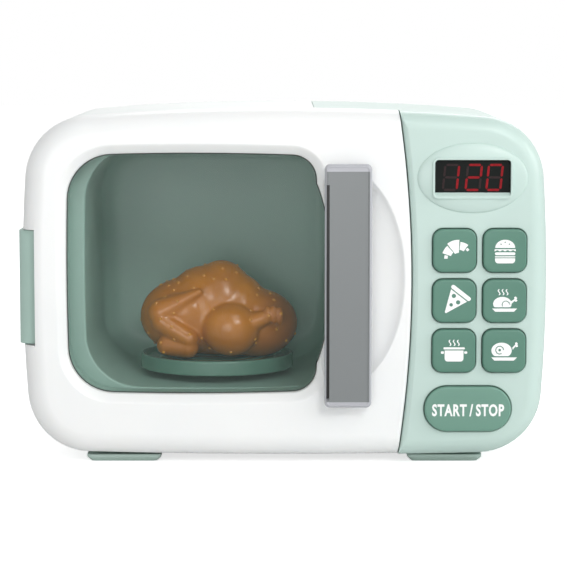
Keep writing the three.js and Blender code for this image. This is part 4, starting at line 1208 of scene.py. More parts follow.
def door_side(shift: float, front: float, back: float, edge: float = 0.0, steps: int = 6) -> Piece:
    """Everything on the door's side of its bowed right edge.

    Args:
        shift: Distance that the edge is moved right.
        front: Depth of the front.
        back: Depth of the back.
        edge: Round of the front corner, negative where it widens forwards.
        steps: Steps of the round.

    Returns:
        The closed solid.
    """
    radius, reach = 609.0, 98.0
    swing = asin(reach / radius)

    def outline(extra: float) -> list[Point]:
        """The bowed edge and two corners far to the left."""
        centre = Vector((67.6 + shift + extra - radius, MID_Z))
        return arc(centre, radius, -swing, swing, 40) + [
            (-HALF_WIDTH - OVERRUN, MID_Z + reach), (-HALF_WIDTH - OVERRUN, MID_Z - reach),
        ]

    rings = [flat(outline(-edge), front)]
    if edge:
        size = abs(edge)
        for inwards, forwards in quarter_turn(steps)[-2::-1]:
            rings.append(flat(outline(-copysign(size * inwards, edge)), size * forwards))
    return Bench.stack("side", rings + [flat(outline(0.0), back)])


def dip(
    x: float, z: float, half_width: float, half_height: float, depth: float, rim: float,
) -> list[Ring]:
    """Rings of a bowl sunk into the face, with a soft rim.

    Args:
        x: Middle, across.
        z: Middle, upwards.
        half_width: Half its width.
        half_height: Half its height.
        depth: Its depth.
        rim: Radius of the rim.

    Returns:
        Rings, front first.
    """
    rings = swollen(x, z, half_width, half_height, [(-OVERRUN, rim)])
    for inwards, forwards in quarter_turn(6):
        y, grow = rim * inwards, rim * forwards
        share = sqrt(1 - (y / depth) ** 2)
        rings += swollen(x, z, half_width * share, half_height * share, [(y, grow)])
    start = asin(rim / depth)
    for i in range(1, 15):
        angle = start + (radians(87) - start) * i / 14
        across, up = half_width * cos(angle), half_height * cos(angle)
        rings.append(flat(ellipse(x, z, across, up), depth * sin(angle)))
    return rings


@dataclass
class Door:
    """The white door with its window, finger scoop and handle.

    Attributes:
        round_front: Radius of its outer front edge.
        edge: Round of its right edge.
        lap: Reach of the pane behind the lip.
        pane: Depth of the pane's front.
        flare: Place and half sizes of the ellipse that widens the window under the handle.
        scoop: Place and half sizes of the finger scoop.
        scoop_depth: Depth of the scoop.
        notch: Lower and upper end of the hinge's notch.
        bosses: Places of the four screws.
        bar: Place and size of the handle's bar.
        bar_face: Depth of the bar's face.
        posts_x: Place of the handle's posts, across.
        posts: Heights of the handle's posts.
        mouth: Depth and growth of the window's lip.
    """

    round_front: float = 12.0
    edge: float = 2.0
    lap: float = 3.3
    pane: float = 7.05
    flare: Oblong = (8.6, 102.625, 16.5, 56.975)
    scoop: Oblong = (32.5, 100.9, 30.8, 56.3)
    scoop_depth: float = 6.0
    notch: Point = (64.3, 126.3)
    bosses: tuple[Point, ...] = ((-120.3, 171.3), (-120.3, 33.95), (43.2, 171.3), (43.2, 33.95))
    bar: Oblong = (33.7, 97.2, 24.8, 129.0)
    bar_face: float = -9.5
    posts_x: float = 34.2
    posts: Point = (38.0, 155.2)
    mouth: tuple[Point, ...] = (
        (-5.0, 5.3), (0.0, 5.3), (0.12, 4.85), (0.42, 4.3), (0.9, 3.55), (3.4, 0.72), (3.75, 0.42),
        (4.1, 0.2), (4.6, 0.05), (5.4, 0.0), (29.0, 0.0),
    )

    def opening(self, grow: float, front: float, back: float) -> tuple[Piece, Piece]:
        """The window's outline and its flare as two straight solids.

        Args:
            grow: Distance that both are wider.
            front: Depth of their front.
            back: Depth of their back.

        Returns:
            The two solids.
        """
        return (
            Bench.prism("opening", WINDOW.outline(-grow), front, back),
            Bench.stack("flare", swollen(*self.flare, ((front, grow), (back, grow)))),
        )

    def _hollow(self) -> Piece:
        """The room inside the door's shell.

        Returns:
            The solid that is cut away.
        """
        room = CABINET.block("room", WALL, WALL, DOOR_DEPTH + OVERRUN, self.round_front - WALL)
        Bench.carve(room, Cut.SHARED, door_side(-WALL, -OVERRUN, 2 * DOOR_DEPTH))
        x, z, half_width, half_height = self.scoop
        depth = self.scoop_depth + WALL
        across, up = half_width + WALL, half_height + WALL
        angles = [radians(10 * i - 20) for i in range(11)]
        bowl = [flat(ellipse(x, z, across * cos(a), up * cos(a)), depth * sin(a)) for a in angles]
        low, high = self.notch
        ears = Bench.slab(
            "ears", (-HALF_WIDTH, 8.6, low - 9.5), (-126.2, DOOR_DEPTH + 9, high + 9.5),
        )
        posts = [Bench.rod("boss", x, z, 4.0, 0.0, 19.1, 24) for x, z in self.bosses]
        window = self.opening(self.lap + WALL, -OVERRUN, 21.2)
        return Bench.carve(room, Cut.AWAY, *window, Bench.stack("bowl", bowl), ears, *posts)

    def frame(self) -> None:
        """The moulded white shell of the door."""
        frame = CABINET.block("door_shell", 0.0, 0.0, DOOR_DEPTH, self.round_front, steps=14)
        Bench.carve(frame, Cut.SHARED, door_side(0.0, -OVERRUN, 2 * DOOR_DEPTH, self.edge))
        lip = Bench.stack("lip", [flat(WINDOW.outline(-grow), y) for y, grow in self.mouth])
        flared = Bench.stack("flared", swollen(*self.flare, self.mouth))
        scoop = Bench.stack("scoop", dip(*self.scoop, self.scoop_depth, 1.4))
        pads = [Bench.slab("pad", (22.7, -9.0, z - 6.5), (45.7, 11.0, z + 6.5)) for z in self.posts]
        Bench.carve(scoop, Cut.AWAY, *pads)
        low, high = self.notch
        across, depth = HINGE
        pegs = [
            Bench.rod("peg", self.posts_x, z, 3.3, -OVERRUN, WALL + OVERRUN) for z in self.posts
        ]
        bores = [Bench.rod("bore", x, z, SCREW_BORE, 10.4, DOOR_DEPTH, 20) for x, z in self.bosses]
        notch = Bench.slab(
            "notch", (-HALF_WIDTH - 5, -OVERRUN, low), (-132.7, DOOR_DEPTH + 5, high),
        )
        knuckle = Bench.post("knuckle", across, depth, [(10.0, low), (10.0, high)], 64)
        pin = Bench.post("pin", across, depth, [(2.3, low - 14), (2.3, high + 14)], 32)
        back = DOOR_DEPTH + OVERRUN
        swing = [(across, back), (LEFT_END, back), (LEFT_END, depth)]
        swing += arc(Vector(HINGE), 8.5, pi, pi / 2, 12)
        relief = Bench.stack(
            "relief", [[(x, y, height) for x, y in swing] for height in (0.0, 200.0)],
        )
        Bench.carve(
            frame, Cut.AWAY, self._hollow(), lip, flared, *self.opening(self.lap, self.pane, back),
            scoop, *pegs, *bores, notch, knuckle, pin, relief,
        )
        fit(Bench.smooth(frame, 30.0), "door", "white", DOOR_WHITE, "door_frame")

    def handle(self) -> None:
        """The flat bar on two posts, bevelled and bordered."""
        x, z, width, height = self.bar

        def ring(inset: float, y: float) -> Ring:
            """The bar's outline, set in."""
            corner = max(2.7 - 0.7 * inset, 0.8)
            return flat(rounded(x, z, width - 2 * inset, height - 2 * inset, corner), y)

        face = self.bar_face
        bar = Bench.stack("door_bar", [ring(inset, face + drop) for inset, drop in (
            (1.9, 0.35), (1.8, 0.25), (1.65, 0.06), (1.5, 0.0), (1.2, 0.02), (0.95, 0.12),
            (0.2, 0.95), (0.05, 1.2), (0.0, 1.6), (0.0, 4.1), (0.12, 4.35), (0.4, 4.5),
        )])
        # the groove is real; its near-black colour, a painted shade, comes from the handle's finish
        Bench.carve(bar, Cut.AWAY, Bench.slab("groove", (22.35, -11.0, 36.6), (23.75, -6.6, 151.0)))
        for z in self.posts[::-1]:
            post = Bench.prism("post", rounded(self.posts_x, z, 18.0, 8.0, 2.7), face + 2.2, -SEAM)
            peg = Bench.rod("peg", self.posts_x, z, 3.0, -4.5, WALL + SEAM)
            Bench.carve(bar, Cut.ADD, post, peg)
        fit(Bench.smooth(bar, 24.0), "door", "silver", HANDLE, "door_handle")

    def pane_line(self) -> None:
        """A dark ring where the pane meets the window's edge, a painted shadow that stands for the
        shade in the gap.
        """
        front, back = self.pane - 0.45, self.pane - 0.05
        line = Bench.join("pane_line", list(self.opening(0.15, front, back)))
        Bench.carve(line, Cut.AWAY, *self.opening(-0.6, front - 1, back + 1))
        fit(line, "door", "white", PANE_SHADOW_PAINT)

    def build(self) -> None:
        """Makes and dresses the door's pieces."""
        self.pane_line()
        self.frame()
        self.handle()


@dataclass
class Shell:
    """The housing round the cavity: two halves, rear cover, liner, hinge block and feet.

    Attributes:
        panel_round: Radius of the control panel's outer edge.
        rear_round: Radius of the rear edge.
        rear_bosses: Places of the rear screws.
        flange_bosses: Places of the liner's screws.
        board_posts: Places of the posts that hold the circuit board.
        oval: Half width, half height and height of the raised oval round the display.
        lens_sill: Left end, right end and foot of the display's sill.
        hinge_room: Lower and upper end of the hinge block's room.
        hinge_span: Lower and upper end of the hinge block.
        hinge_left: Left end of the hinge block.
        foot_x: Distance of the feet from the middle.
        inner_front: Depth where the cuts inside the rear cover start.
        lid_size: Width and height of the battery cover.
    """

    panel_round: float = 9.0
    rear_round: float = 8.0
    rear_bosses: tuple[Point, ...] = (
        (-132.4, 45.5), (-132.4, 149.5), (132.4, 45.5), (132.4, 149.5),
    )
    flange_bosses: tuple[Point, ...] = (
        (-132.4, 45.5), (52.4, 11.99), (-132.4, 149.5), (52.4, 182.37),
    )
    board_posts: tuple[Point, ...] = ((82.45, 170.0), (116.55, 170.0), (77.6, 132.8), (127.4, 30.9))
    oval: Triple = (29.2, 18.6, 3.0)
    lens_sill: Triple = (79.3, 119.7, 144.2)
    hinge_room: Point = (64.5, 126.1)
    hinge_span: Point = (64.8, 125.8)
    hinge_left: float = -141.6
    foot_x: float = 86.5
    inner_front: float = 137.0
    lid_size: Point = (53.8, 69.0)

    def _bulge(self, inset: float, back: float, steps: int) -> list[Ring]:
        """Rings of the raised oval round the display, front first.

        Args:
            inset: Distance the oval is set in.
            back: Depth of its middle plane.
            steps: Rings in front of that plane.

        Returns:
            The rings.
        """
        angles = [radians(86 - 86 * i / steps) for i in range(steps + 2)]
        half_width, half_height, height = self.oval
        return [flat(ellipse(
            *DISPLAY[:2], (half_width - inset) * cos(a), (half_height - inset) * cos(a),
        ), back - height * sin(a)) for a in angles]

    @staticmethod
    def _rods(
        name: str, side: int, radius: float, steps: int,
        spans: Iterable[tuple[tuple[Point, ...], float, float]],
    ) -> list[Piece]:
        """Rods at the screw places of one half.

        Args:
            name: Name of each rod.
            side: Minus one on the left, one on the right.
            radius: Radius of each rod.
            steps: Steps round it.
            spans: Screw places with the front and back of their rods.

        Returns:
            The rods.
        """
        return [
            Bench.rod(name, x, z, radius, front, back, steps)
            for places, front, back in spans for x, z in places if x * side > 0
        ]

    def _posts(self, side: int) -> list[Piece]:
        """Screw posts along the inside of one half."""
        spans = ((self.rear_bosses, 112.0, REAR_SEAM), (self.flange_bosses, 29.3, 40.5))
        return self._rods("post", side, 5.0, 24, spans)

    def _holes(self, side: int) -> list[Piece]:
        """Screw bores and foot holes of one half.

        Args:
            side: Minus one on the left, one on the right.

        Returns:
            Solids that are cut away.
        """
        spans = (
            (self.rear_bosses, 133.0, REAR_SEAM + 5), (self.flange_bosses, HOUSING_FRONT, 38.0),
        )
        pegs = [
            Bench.post("hole", side * self.foot_x, y, [(3.3, 0.0), (3.3, 13.0)], 24)
            for y in (35.0, 131.0)
        ]
        return self._rods("bore", side, SCREW_BORE, 20, spans) + pegs

    def _half_room(self, low: float, high: float) -> Piece:
        """A block as deep and high as the cabinet, for cutting a half away."""
        front, back = HOUSING_FRONT - OVERRUN, CABINET_DEPTH + OVERRUN
        return Bench.slab("half", (low, front, 0.0), (high, back, 205.0))

    def left(self) -> None:
        """The white half of the housing."""
        half = CABINET.block("left_half", 0.0, HOUSING_FRONT, REAR_SEAM, 0.5, 0.25, 3)
        room = CABINET.block("room", WALL, HOUSING_FRONT - OVERRUN, REAR_SEAM + OVERRUN)
        Bench.carve(room, Cut.AWAY, *self._posts(-1))
        low, high = self.hinge_room
        seat = Bench.slab("seat", (LEFT_END, 0.0, low), (-129.35, 36.9, high))
        Bench.carve(half, Cut.AWAY, room, self._half_room(SEAM_X, 150.0), seat, *self._holes(-1))
        fit(Bench.smooth(half), "cabinet", "white", HOUSING_WHITE, "left_housing")

    def right(self) -> None:
        """The mint half of the housing with the control panel on its front."""
        half = CABINET.block("right_half", 0.0, 0.0, REAR_SEAM, self.panel_round, 0.25, 12)
        inner = CABINET.block("inner", WALL, WALL, REAR_SEAM + OVERRUN, self.panel_round - WALL)
        Bench.carve(inner, Cut.ADD, Bench.stack("relief", self._bulge(WALL, WALL, 8)))
        posts = [Bench.rod("post", x, z, 2.6, 0.0, 13.2, 20) for x, z in self.board_posts]
        side = door_side(PANEL_GAP + WALL, -OVERRUN, FLANGE_BACK)
        Bench.carve(inner, Cut.AWAY, side, *posts, *self._posts(1))
        flange = CABINET.block("flange", WALL, HOUSING_FRONT - OVERRUN, FLANGE_BACK)
        Bench.carve(flange, Cut.SHARED, door_side(PANEL_GAP, 0.0, FLANGE_BACK))
        side = door_side(PANEL_GAP, -OVERRUN, HOUSING_FRONT, -3.4, 10)
        Bench.carve(half, Cut.AWAY, side, inner, self._half_room(-150.0, SEAM_X + SEAM), flange)
        Bench.carve(half, Cut.ADD, Bench.stack("bulge", self._bulge(0.0, 0.0, 16)))
        Bench.carve(half, Cut.AWAY, Bench.stack("relief", self._bulge(WALL, WALL, 8)))
        frame, window = (Bench.swell(name, *DISPLAY, 1.5, profile) for name, profile in (
            ("lens_frame", ((-3.0, 1.2), (-2.96, 1.4), (-2.8, 1.56), (-2.5, 1.6), (2.5, 1.6))),
            ("lens_hole", ((-8.0, 0.5), (-2.97, 0.5), (-2.8, 0.36), (-2.4, 0.3), (7.8, 0.3))),
        ))
        Bench.carve(half, Cut.ADD, frame)
        Bench.carve(half, Cut.AWAY, window, *Panel().holes(), *self._holes(1))
        left, right, low = self.lens_sill
        sill = [
            flat([(left, low), (right, low), (right, low + rise), (left, low + rise)], y)
            for y, rise in ((-2.8, 0.6), (-1.02, 2.2))
        ]
        Bench.carve(half, Cut.ADD, Bench.stack("sill", sill))
        fit(Bench.smooth(half), "cabinet", "mint", MINT, "right_housing")

    def rear(self) -> None:
        """The rear cover with its screw wells, speaker slots and battery recess."""
        cover = CABINET.block(
            "rear_shell", 0.0, COVER_FRONT, CABINET_DEPTH, 0.25, self.rear_round, 10,
        )
        wells = [
            Bench.rod("well", x, z, 4.6, COVER_FRONT, CABINET_DEPTH, 32)
            for x, z in self.rear_bosses
        ]
        seat = Bench.rod("seat", *SPEAKER, 22.0, 149.0, CABINET_DEPTH, 48)
        sill = Bench.prism("sill", rounded(*BATTERY_LID, 58.8, 74.0, 5.5), 150.2, CABINET_DEPTH)
        room = CABINET.block(
            "room", WALL, self.inner_front, COVER_INSIDE, 0.0, self.rear_round - WALL,
        )
        Bench.carve(room, Cut.AWAY, *wells, seat, sill)
        sink = ((147.0, 3.1), (155.4, 3.1), (155.8, 3.3), (156.0, 3.7), (161.0, 3.7))
        tools = []
        for x, z in self.rear_bosses:
            tools.append(Bench.stack("sink", [flat(ellipse(x, z, r, r, 32), y) for y, r in sink]))
        for x, z in self.rear_bosses:
            tools.append(Bench.rod("bore", x, z, SCREW_BORE, self.inner_front, CABINET_DEPTH, 20))
        lip = ((151.0, 0.0), (155.3, 0.0), (155.75, 0.12), (156.0, 0.5), (161.0, 0.5))
        for i in range(5):
            rise = (i - 2) * 6.0
            width = 2 * sqrt(256.0 - rise**2)
            place_z = SPEAKER[1] + rise
            tools.append(Bench.swell("slot", SPEAKER[0], place_z, width, 2.0, 1.0, lip, 0.01))
        tools.append(Bench.rod("speaker", *SPEAKER, 20.3, self.inner_front, COVER_INSIDE, 48))
        rim = ((152.7, 0.3), (155.5, 0.3), (155.85, 0.42), (156.0, 0.75), (161.0, 0.75))
        tools.append(Bench.swell("cover_room", *BATTERY_LID, *self.lid_size, 3.0, rim))
        mouth = Bench.slab("mouth", (67.3, self.inner_front, 24.6), (116.7, CABINET_DEPTH, 82.4))
        Bench.carve(cover, Cut.AWAY, room, *tools, mouth, *self._lid_screw())
        fit(Bench.smooth(cover), "cabinet", "white", HOUSING_WHITE, "rear_cover")

    @staticmethod
    def _lid_screw() -> list[Piece]:
        """Bore and head room of the battery cover's screw."""
        spans = ((SCREW_BORE, 142.0, CABINET_DEPTH, 20), (SCREW_HEAD, 153.6, 161.0, 32))
        return [Bench.rod("bore", BATTERY_LID[0], BATTERY_SCREW_Z, *span) for span in spans]

    def liner(self) -> None:
        """The tub of the cooking cavity behind its flange."""
        flange = CABINET.block("liner", WALL + SEAM, HOUSING_FRONT, FLANGE_BACK, 0.2, 0.0, 2)
        Bench.carve(flange, Cut.SHARED, door_side(SEAM, 0.0, 32.0))
        outside = [flat(CAVITY.outline(-2.0), HOUSING_FRONT)] + [
            flat(CAVITY.outline(14 * inwards - 0.5), 136.0 - 14 * forwards)
            for inwards, forwards in quarter_turn(6)
        ]
        inside = [
            flat(CAVITY.outline(-grow), y)
            for y, grow in ((19.6, 1.2), (24.6, 1.2), (24.7, 0.75), (25.05, 0.3), (25.8, 0.0))
        ] + [
            flat(CAVITY.outline(1.5 + 12 * inwards), 134.0 - 12 * forwards)
            for inwards, forwards in quarter_turn(12)
        ]
        pads = [Bench.rod("pad", x, z, 4.0, 25.0, 29.0, 24) for x, z in self.flange_bosses]
        Bench.carve(flange, Cut.ADD, Bench.stack("outside", outside), *pads)
        low, high = self.hinge_room
        tools = [
            Bench.stack("inside", inside),
            Bench.slab("hinge_room", (LEFT_END, 0.0, low), (-123.3, 32.0, high)),
            Bench.slab("latch_slot", (50.5, 0.0, 88.5), (57.5, 32.0, 106.5)),
            Bench.post("shaft_hole", *TURNTABLE, [(5.1, 30.0), (5.1, 44.0)], 48),
        ]
        for x, z in self.flange_bosses:
            tools.append(Bench.rod("head", x, z, SCREW_HEAD, 19.0, 27.0, 32))
            tools.append(Bench.rod("bore", x, z, SCREW_BORE, 24.0, 39.0, 20))
        Bench.carve(flange, Cut.AWAY, *tools)
        fit(Bench.smooth(flange), "cabinet", "sage", SAGE, "cavity_liner")

    def hinge_block(self) -> None:
        """The block at the left edge that holds the hinge pin."""
        low, high = self.hinge_span
        left, depth = self.hinge_left, HINGE[1]
        block = Bench.slab("hinge_moulding", (left, depth, low), (-129.65, 36.6, high))
        knuckle = Bench.post("knuckle", *HINGE, [
            (8.9, low), (9.35, low + 0.15), (9.5, low + 0.6),
            (9.5, high - 0.6), (9.35, high - 0.15), (8.9, high),
        ], 64)
        Bench.carve(knuckle, Cut.AWAY, Bench.slab("trim", (-150.0, 0.0, 0.0), (left, 40.0, 200.0)))
        Bench.soften(block, 0.6, 3)
        Bench.carve(block, Cut.ADD, knuckle)
        Bench.carve(block, Cut.AWAY, Bench.post("bore", *HINGE, [(2.3, 50.0), (2.3, 140.0)], 32))
        fit(Bench.smooth(block), "cabinet", "sage", HINGE_SAGE, "hinge_block")

    def foot(self, node: str, side: int, depth: float) -> None:
        """One tapered foot under the crowned floor.

        Args:
            node: CAD node that it stands for.
            side: Minus one on the left, one on the right.
            depth: Depth of its middle.
        """
        x = side * self.foot_x
        rings = []
        taper = ((0.0, 2.9), (0.12, 2.35), (0.5, 1.9), (2.25, 0.15), (2.6, 0.0), (7.0, 0.0))
        for height, inset in taper:
            wide, deep, corner = 40.0 - 2 * inset, 28.0 - 2 * inset, max(2.4 - 0.3 * inset, 0.8)
            rings.append([(px, py, height) for px, py in rounded(x, depth, wide, deep, corner, 6)])
        foot = Bench.stack(f"moulded_{node}", rings)
        body = CABINET.block("floor", -SEAM, -OVERRUN, CABINET_DEPTH + OVERRUN)
        door_room = Bench.slab("door_room", (-HALF_WIDTH, -OVERRUN, 3.9), (HALF_WIDTH, 24.9, 190.0))
        Bench.carve(foot, Cut.AWAY, body, door_room)
        peg = [(3.0, 2.2), (3.0, 10.0), (2.5, 10.5)]
        Bench.carve(foot, Cut.ADD, Bench.post("peg", x, depth + 9.0, peg, 24))
        fit(Bench.smooth(foot), "cabinet", "sage", FOOT_SAGE, node)

    def battery_cover(self) -> None:
        """The lid over the cells, with finger grips and a countersunk screw."""
        width, height = self.lid_size
        lid = Bench.stack("battery_lid", [
            flat(rounded(*BATTERY_LID, width - 2 * inset, height - 2 * inset, 3.0 - 0.5 * inset), y)
            for y, inset in ((153.0, 0.0), (155.5, 0.0), (155.85, 0.15), (156.0, 0.5))
        ])
        edge = ((155.3, 0.0), (155.85, 0.1), (156.0, 0.3), (157.0, 0.3))
        grips = [
            Bench.swell("grip", BATTERY_LID[0], 26.0 + 2.6 * i, 20.0, 1.2, 0.6, edge, 0.01, 5)
            for i in range(4)
        ]
        Bench.carve(lid, Cut.AWAY, *grips, *self._lid_screw()[::-1])
        fit(Bench.smooth(lid), "cabinet", "white", HOUSING_WHITE, "battery_cover")

    def build(self, screws: Turned) -> None:
        """Makes and dresses the shell's pieces.

        Args:
            screws: The screw that is copied.
        """
        for side in (self.left, self.right, self.rear, self.liner):
            side()
        self.hinge_block()
        self.battery_cover()
        for end, depth in (("front", 26.0), ("rear", 122.0)):
            for side, hand in ((-1, "left"), (1, "right")):
                self.foot(f"foot_{end}_{hand}", side, depth)
        for i, (x, z) in enumerate(self.rear_bosses, 1):
            screws.fit_at(f"rear_screw_{i}", x, 149.1, z, Facing.BACK)
        for i, (x, z) in enumerate(self.flange_bosses, 1):
            screws.fit_at(f"liner_screw_{i}", x, 24.9, z, Facing.FRONT)
        for i, (x, z) in enumerate(Door().bosses, 1):
            screws.fit_at(f"door_screw_{i}", x, 23.7, z, Facing.BACK, "door")
        screws.fit_at("battery_cover_screw", BATTERY_LID[0], 155.7, BATTERY_SCREW_Z, Facing.BACK)
        for i, (x, y) in enumerate(DRIVE_POSTS, 1):
            screws.fit_at(f"drive_screw_{i}", x, y, DRIVE_HEAD_Z, Facing.DOWN)


@dataclass(frozen=True)
class Key:
    """One button of the panel."""

    name: str
    x: float
    z: float


@dataclass
class Panel:
    """Buttons, their raised marks, the display and its digits.

    Attributes:
        gap: Room round each button.
        proud: Height of the buttons over the panel.
        round_edge: Round of their front edge.
        crown: How far the cap's middle stands over its edge.
        flange: Depth of the flanges' front.
        back: Depth of the flanges' back.
        size: Side of a square button.
        corner: Its corner radius.
        pill: Place and size of the long button.
        words: Width, height and thickness of the lettering.
        keys: The square buttons.
    """

    gap: float = 0.4
    proud: float = 2.6
    round_edge: float = 1.1
    crown: float = 0.12
    flange: float = 2.8
    back: float = 4.3
    size: float = 22.9
    corner: float = 5.3
    pill: Oblong = (97.8, 30.9, 46.2, 24.0)
    words: Triple = (38.4, 6.6, 0.22)
    keys: tuple[Key, ...] = (
        Key("croissant", 90.2, 115.6), Key("burger", 116.8, 115.6), Key("pizza", 90.2, 88.85),
        Key("roast_chicken", 116.8, 88.85), Key("pot", 90.2, 62.1), Key("ham", 116.8, 62.1),
    )

    def _square(self, x: float, z: float, grow: float) -> list[Point]:
        """Outline of a square button."""
        return rounded(x, z, self.size + 2 * grow, self.size + 2 * grow, self.corner + grow, 12)

    def _pill(self, x: float, z: float, grow: float) -> list[Point]:
        """Outline of the long button."""
        width, height = self.pill[2] + 2 * grow, self.pill[3] + 2 * grow
        return rounded(x, z, width, height, height / 2 - 0.01, 20)

    def holes(self) -> list[Piece]:
        """Soft-edged holes of the panel, one for each button.

        Returns:
            Solids that are cut away.
        """
        places = [(self._square, key.x, key.z) for key in self.keys]
        places.append((self._pill, *self.pill[:2]))
        return [Bench.stack("hole", [
            flat(outline(x, z, self.gap + grow), y) for y, grow in
            ((-5.0, 0.6), (0.0, 0.6), (0.06, 0.36), (0.25, 0.12), (0.6, 0.0), (7.5, 0.0))
        ]) for outline, x, z in places]

    def cap(self, name: str, x: float, z: float, outline: Outline) -> Piece:
        """A crowned cap with its flange and stem.

        Args:
            name: Name of the new piece.
            x: Middle, across.
            z: Middle, upwards.
            outline: Outline of the cap for a place and a growth.

        Returns:
            The button.
        """
        face = -self.proud
        rings = [
            flat(outline(x, z, -inset), face + drop)
            for inset, drop in ((5.0, 0.0), (3.2, 0.01), (2.0, 0.05))
        ]
        for inwards, forwards in quarter_turn(8)[::-1]:
            y = face + self.crown + (self.round_edge - self.crown) * forwards
            rings.append(flat(outline(x, z, -self.round_edge * inwards), y))
        rings.append(flat(outline(x, z, 0.0), self.back))
        cap = Bench.stack(name, rings)
        flange = Bench.prism("flange", outline(x, z, 1.5), self.flange, self.back)
        Bench.carve(cap, Cut.ADD, flange, Bench.rod("stem", x, z, 3.0, 0.0, 7.7))
        return Bench.smooth(cap)

    def display(self) -> None:
        """The smoked lens with its flange."""
        edge = ((-1.0, -0.45), (-0.94, -0.2), (-0.75, -0.03), (-0.55, 0.0), (self.back, 0.0))
        lens = Bench.swell("lens_moulding", *DISPLAY, 1.5, edge)
        x, z, width, height = DISPLAY
        outline = rounded(x, z, width + 3, height + 3, 3.0)
        flange = Bench.prism("flange", outline, self.flange, self.back)
        Bench.carve(lens, Cut.ADD, flange)
        fit(Bench.smooth(lens), "cabinet", "lens", LENS, "display_lens")

    def segments(self, lit: bool) -> None:
        """All lit, or all dark, segments of the three digits.

        Args:
            lit: Which ones are wanted.
        """
        height, width, bar, slant = 13.2, 7.3, 1.2, 0.1
        shapes = {"1": "BC", "2": "ABGED", "0": "ABCDEF"}
        middle = height / 4
        places = {
            "A": (0.0, height / 2, True), "G": (0.0, 0.0, True), "D": (0.0, -height / 2, True),
            "B": (width / 2, middle, False), "C": (width / 2, -middle, False),
            "E": (-width / 2, -middle, False), "F": (-width / 2, middle, False),
        }
        bars = []
        for digit, centre in zip("120", (88.0, 100.0, 111.0)):
            for letter, (across, up, level) in places.items():
                if (letter in shapes[digit]) is not lit:
                    continue
                long, half = (width if level else height / 2) / 2 - 0.35, bar / 2
                shape = [
                    (-long, 0.0), (-long + half, -half), (long - half, -half),
                    (long, 0.0), (long - half, half), (-long + half, half),
                ]
                if not level:
                    shape = [(z, -x) for x, z in shape][::-1]
                points = [(x + across, z + up) for x, z in shape]
                points = [(centre + x + slant * z, DISPLAY[1] + 0.4 + z) for x, z in points]
                bars.append(Bench.prism("bar", points, -1.07 if lit else -1.04, -0.8))
        name, finish = ("segments_lit", RED_LIT) if lit else ("segments_dark", RED_DARK)
        fit(Bench.join(name, bars), "cabinet", "lens", finish)

    def lettering(self) -> None:
        """START and STOP in bold condensed capitals on the long button."""
        Bench.clear()
        bpy.ops.object.text_add()
        words = bpy.context.active_object
        words.data.body = "START / STOP"
        words.data.align_x, words.data.align_y = "CENTER", "CENTER"
        words.data.size, words.data.offset, words.data.extrude = 1.0, 0.034, 0.04
        words.data.space_character, words.data.space_word, words.data.resolution_u = 1.12, 0.6, 3
        bpy.ops.object.convert(target="MESH")
        words = bpy.context.active_object
        words.name = words.data.name = "start_stop_lettering"
        corners = [vertex.co.copy() for vertex in words.data.vertices]
        low = [min(corner[i] for corner in corners) for i in range(3)]
        high = [max(corner[i] for corner in corners) for i in range(3)]
        for vertex in words.data.vertices:
            across, up, out = (
                (vertex.co[i] - (low[i] + high[i]) / 2) / (high[i] - low[i]) * self.words[i]
                for i in range(3)
            )
            x, z = self.pill[0] + 0.1 + across, self.pill[1] - 0.5 + up
            vertex.co = place(x, -self.proud - out, z)
        fit(self._facing_out(words), "key_start_stop", "white", PRINT_WHITE)

    @staticmethod
    def _facing_out(piece: Piece) -> Piece:
        """Merges doubles and turns every face outwards.

        Args:
            piece: The object.

        Returns:
            The same object.
        """
        Bench.pick(piece)
        Bench.enter()
        bpy.ops.mesh.remove_doubles(threshold=1e-6)
        bpy.ops.mesh.normals_make_consistent(inside=False)
        bpy.ops.object.mode_set(mode="OBJECT")
        return piece

    def build(self) -> None:
        """Makes and dresses the panel's pieces."""
        marks = Marks(-self.proud)
        for key in self.keys:
            body, node = f"key_{key.name}", f"button_{key.name}"
            cap = self.cap(f"cap_{key.name}", key.x, key.z, self._square)
            fit(cap, body, "green", KEY_GREEN, node)
            fit(marks.draw(key), body, "white", PRINT_WHITE)
        cap = self.cap("cap_start_stop", *self.pill[:2], self._pill)
        fit(cap, "key_start_stop", "green", PILL_GREEN, "button_start_stop")
        self.lettering()
        self.display()
        self.segments(True)
        self.segments(False)


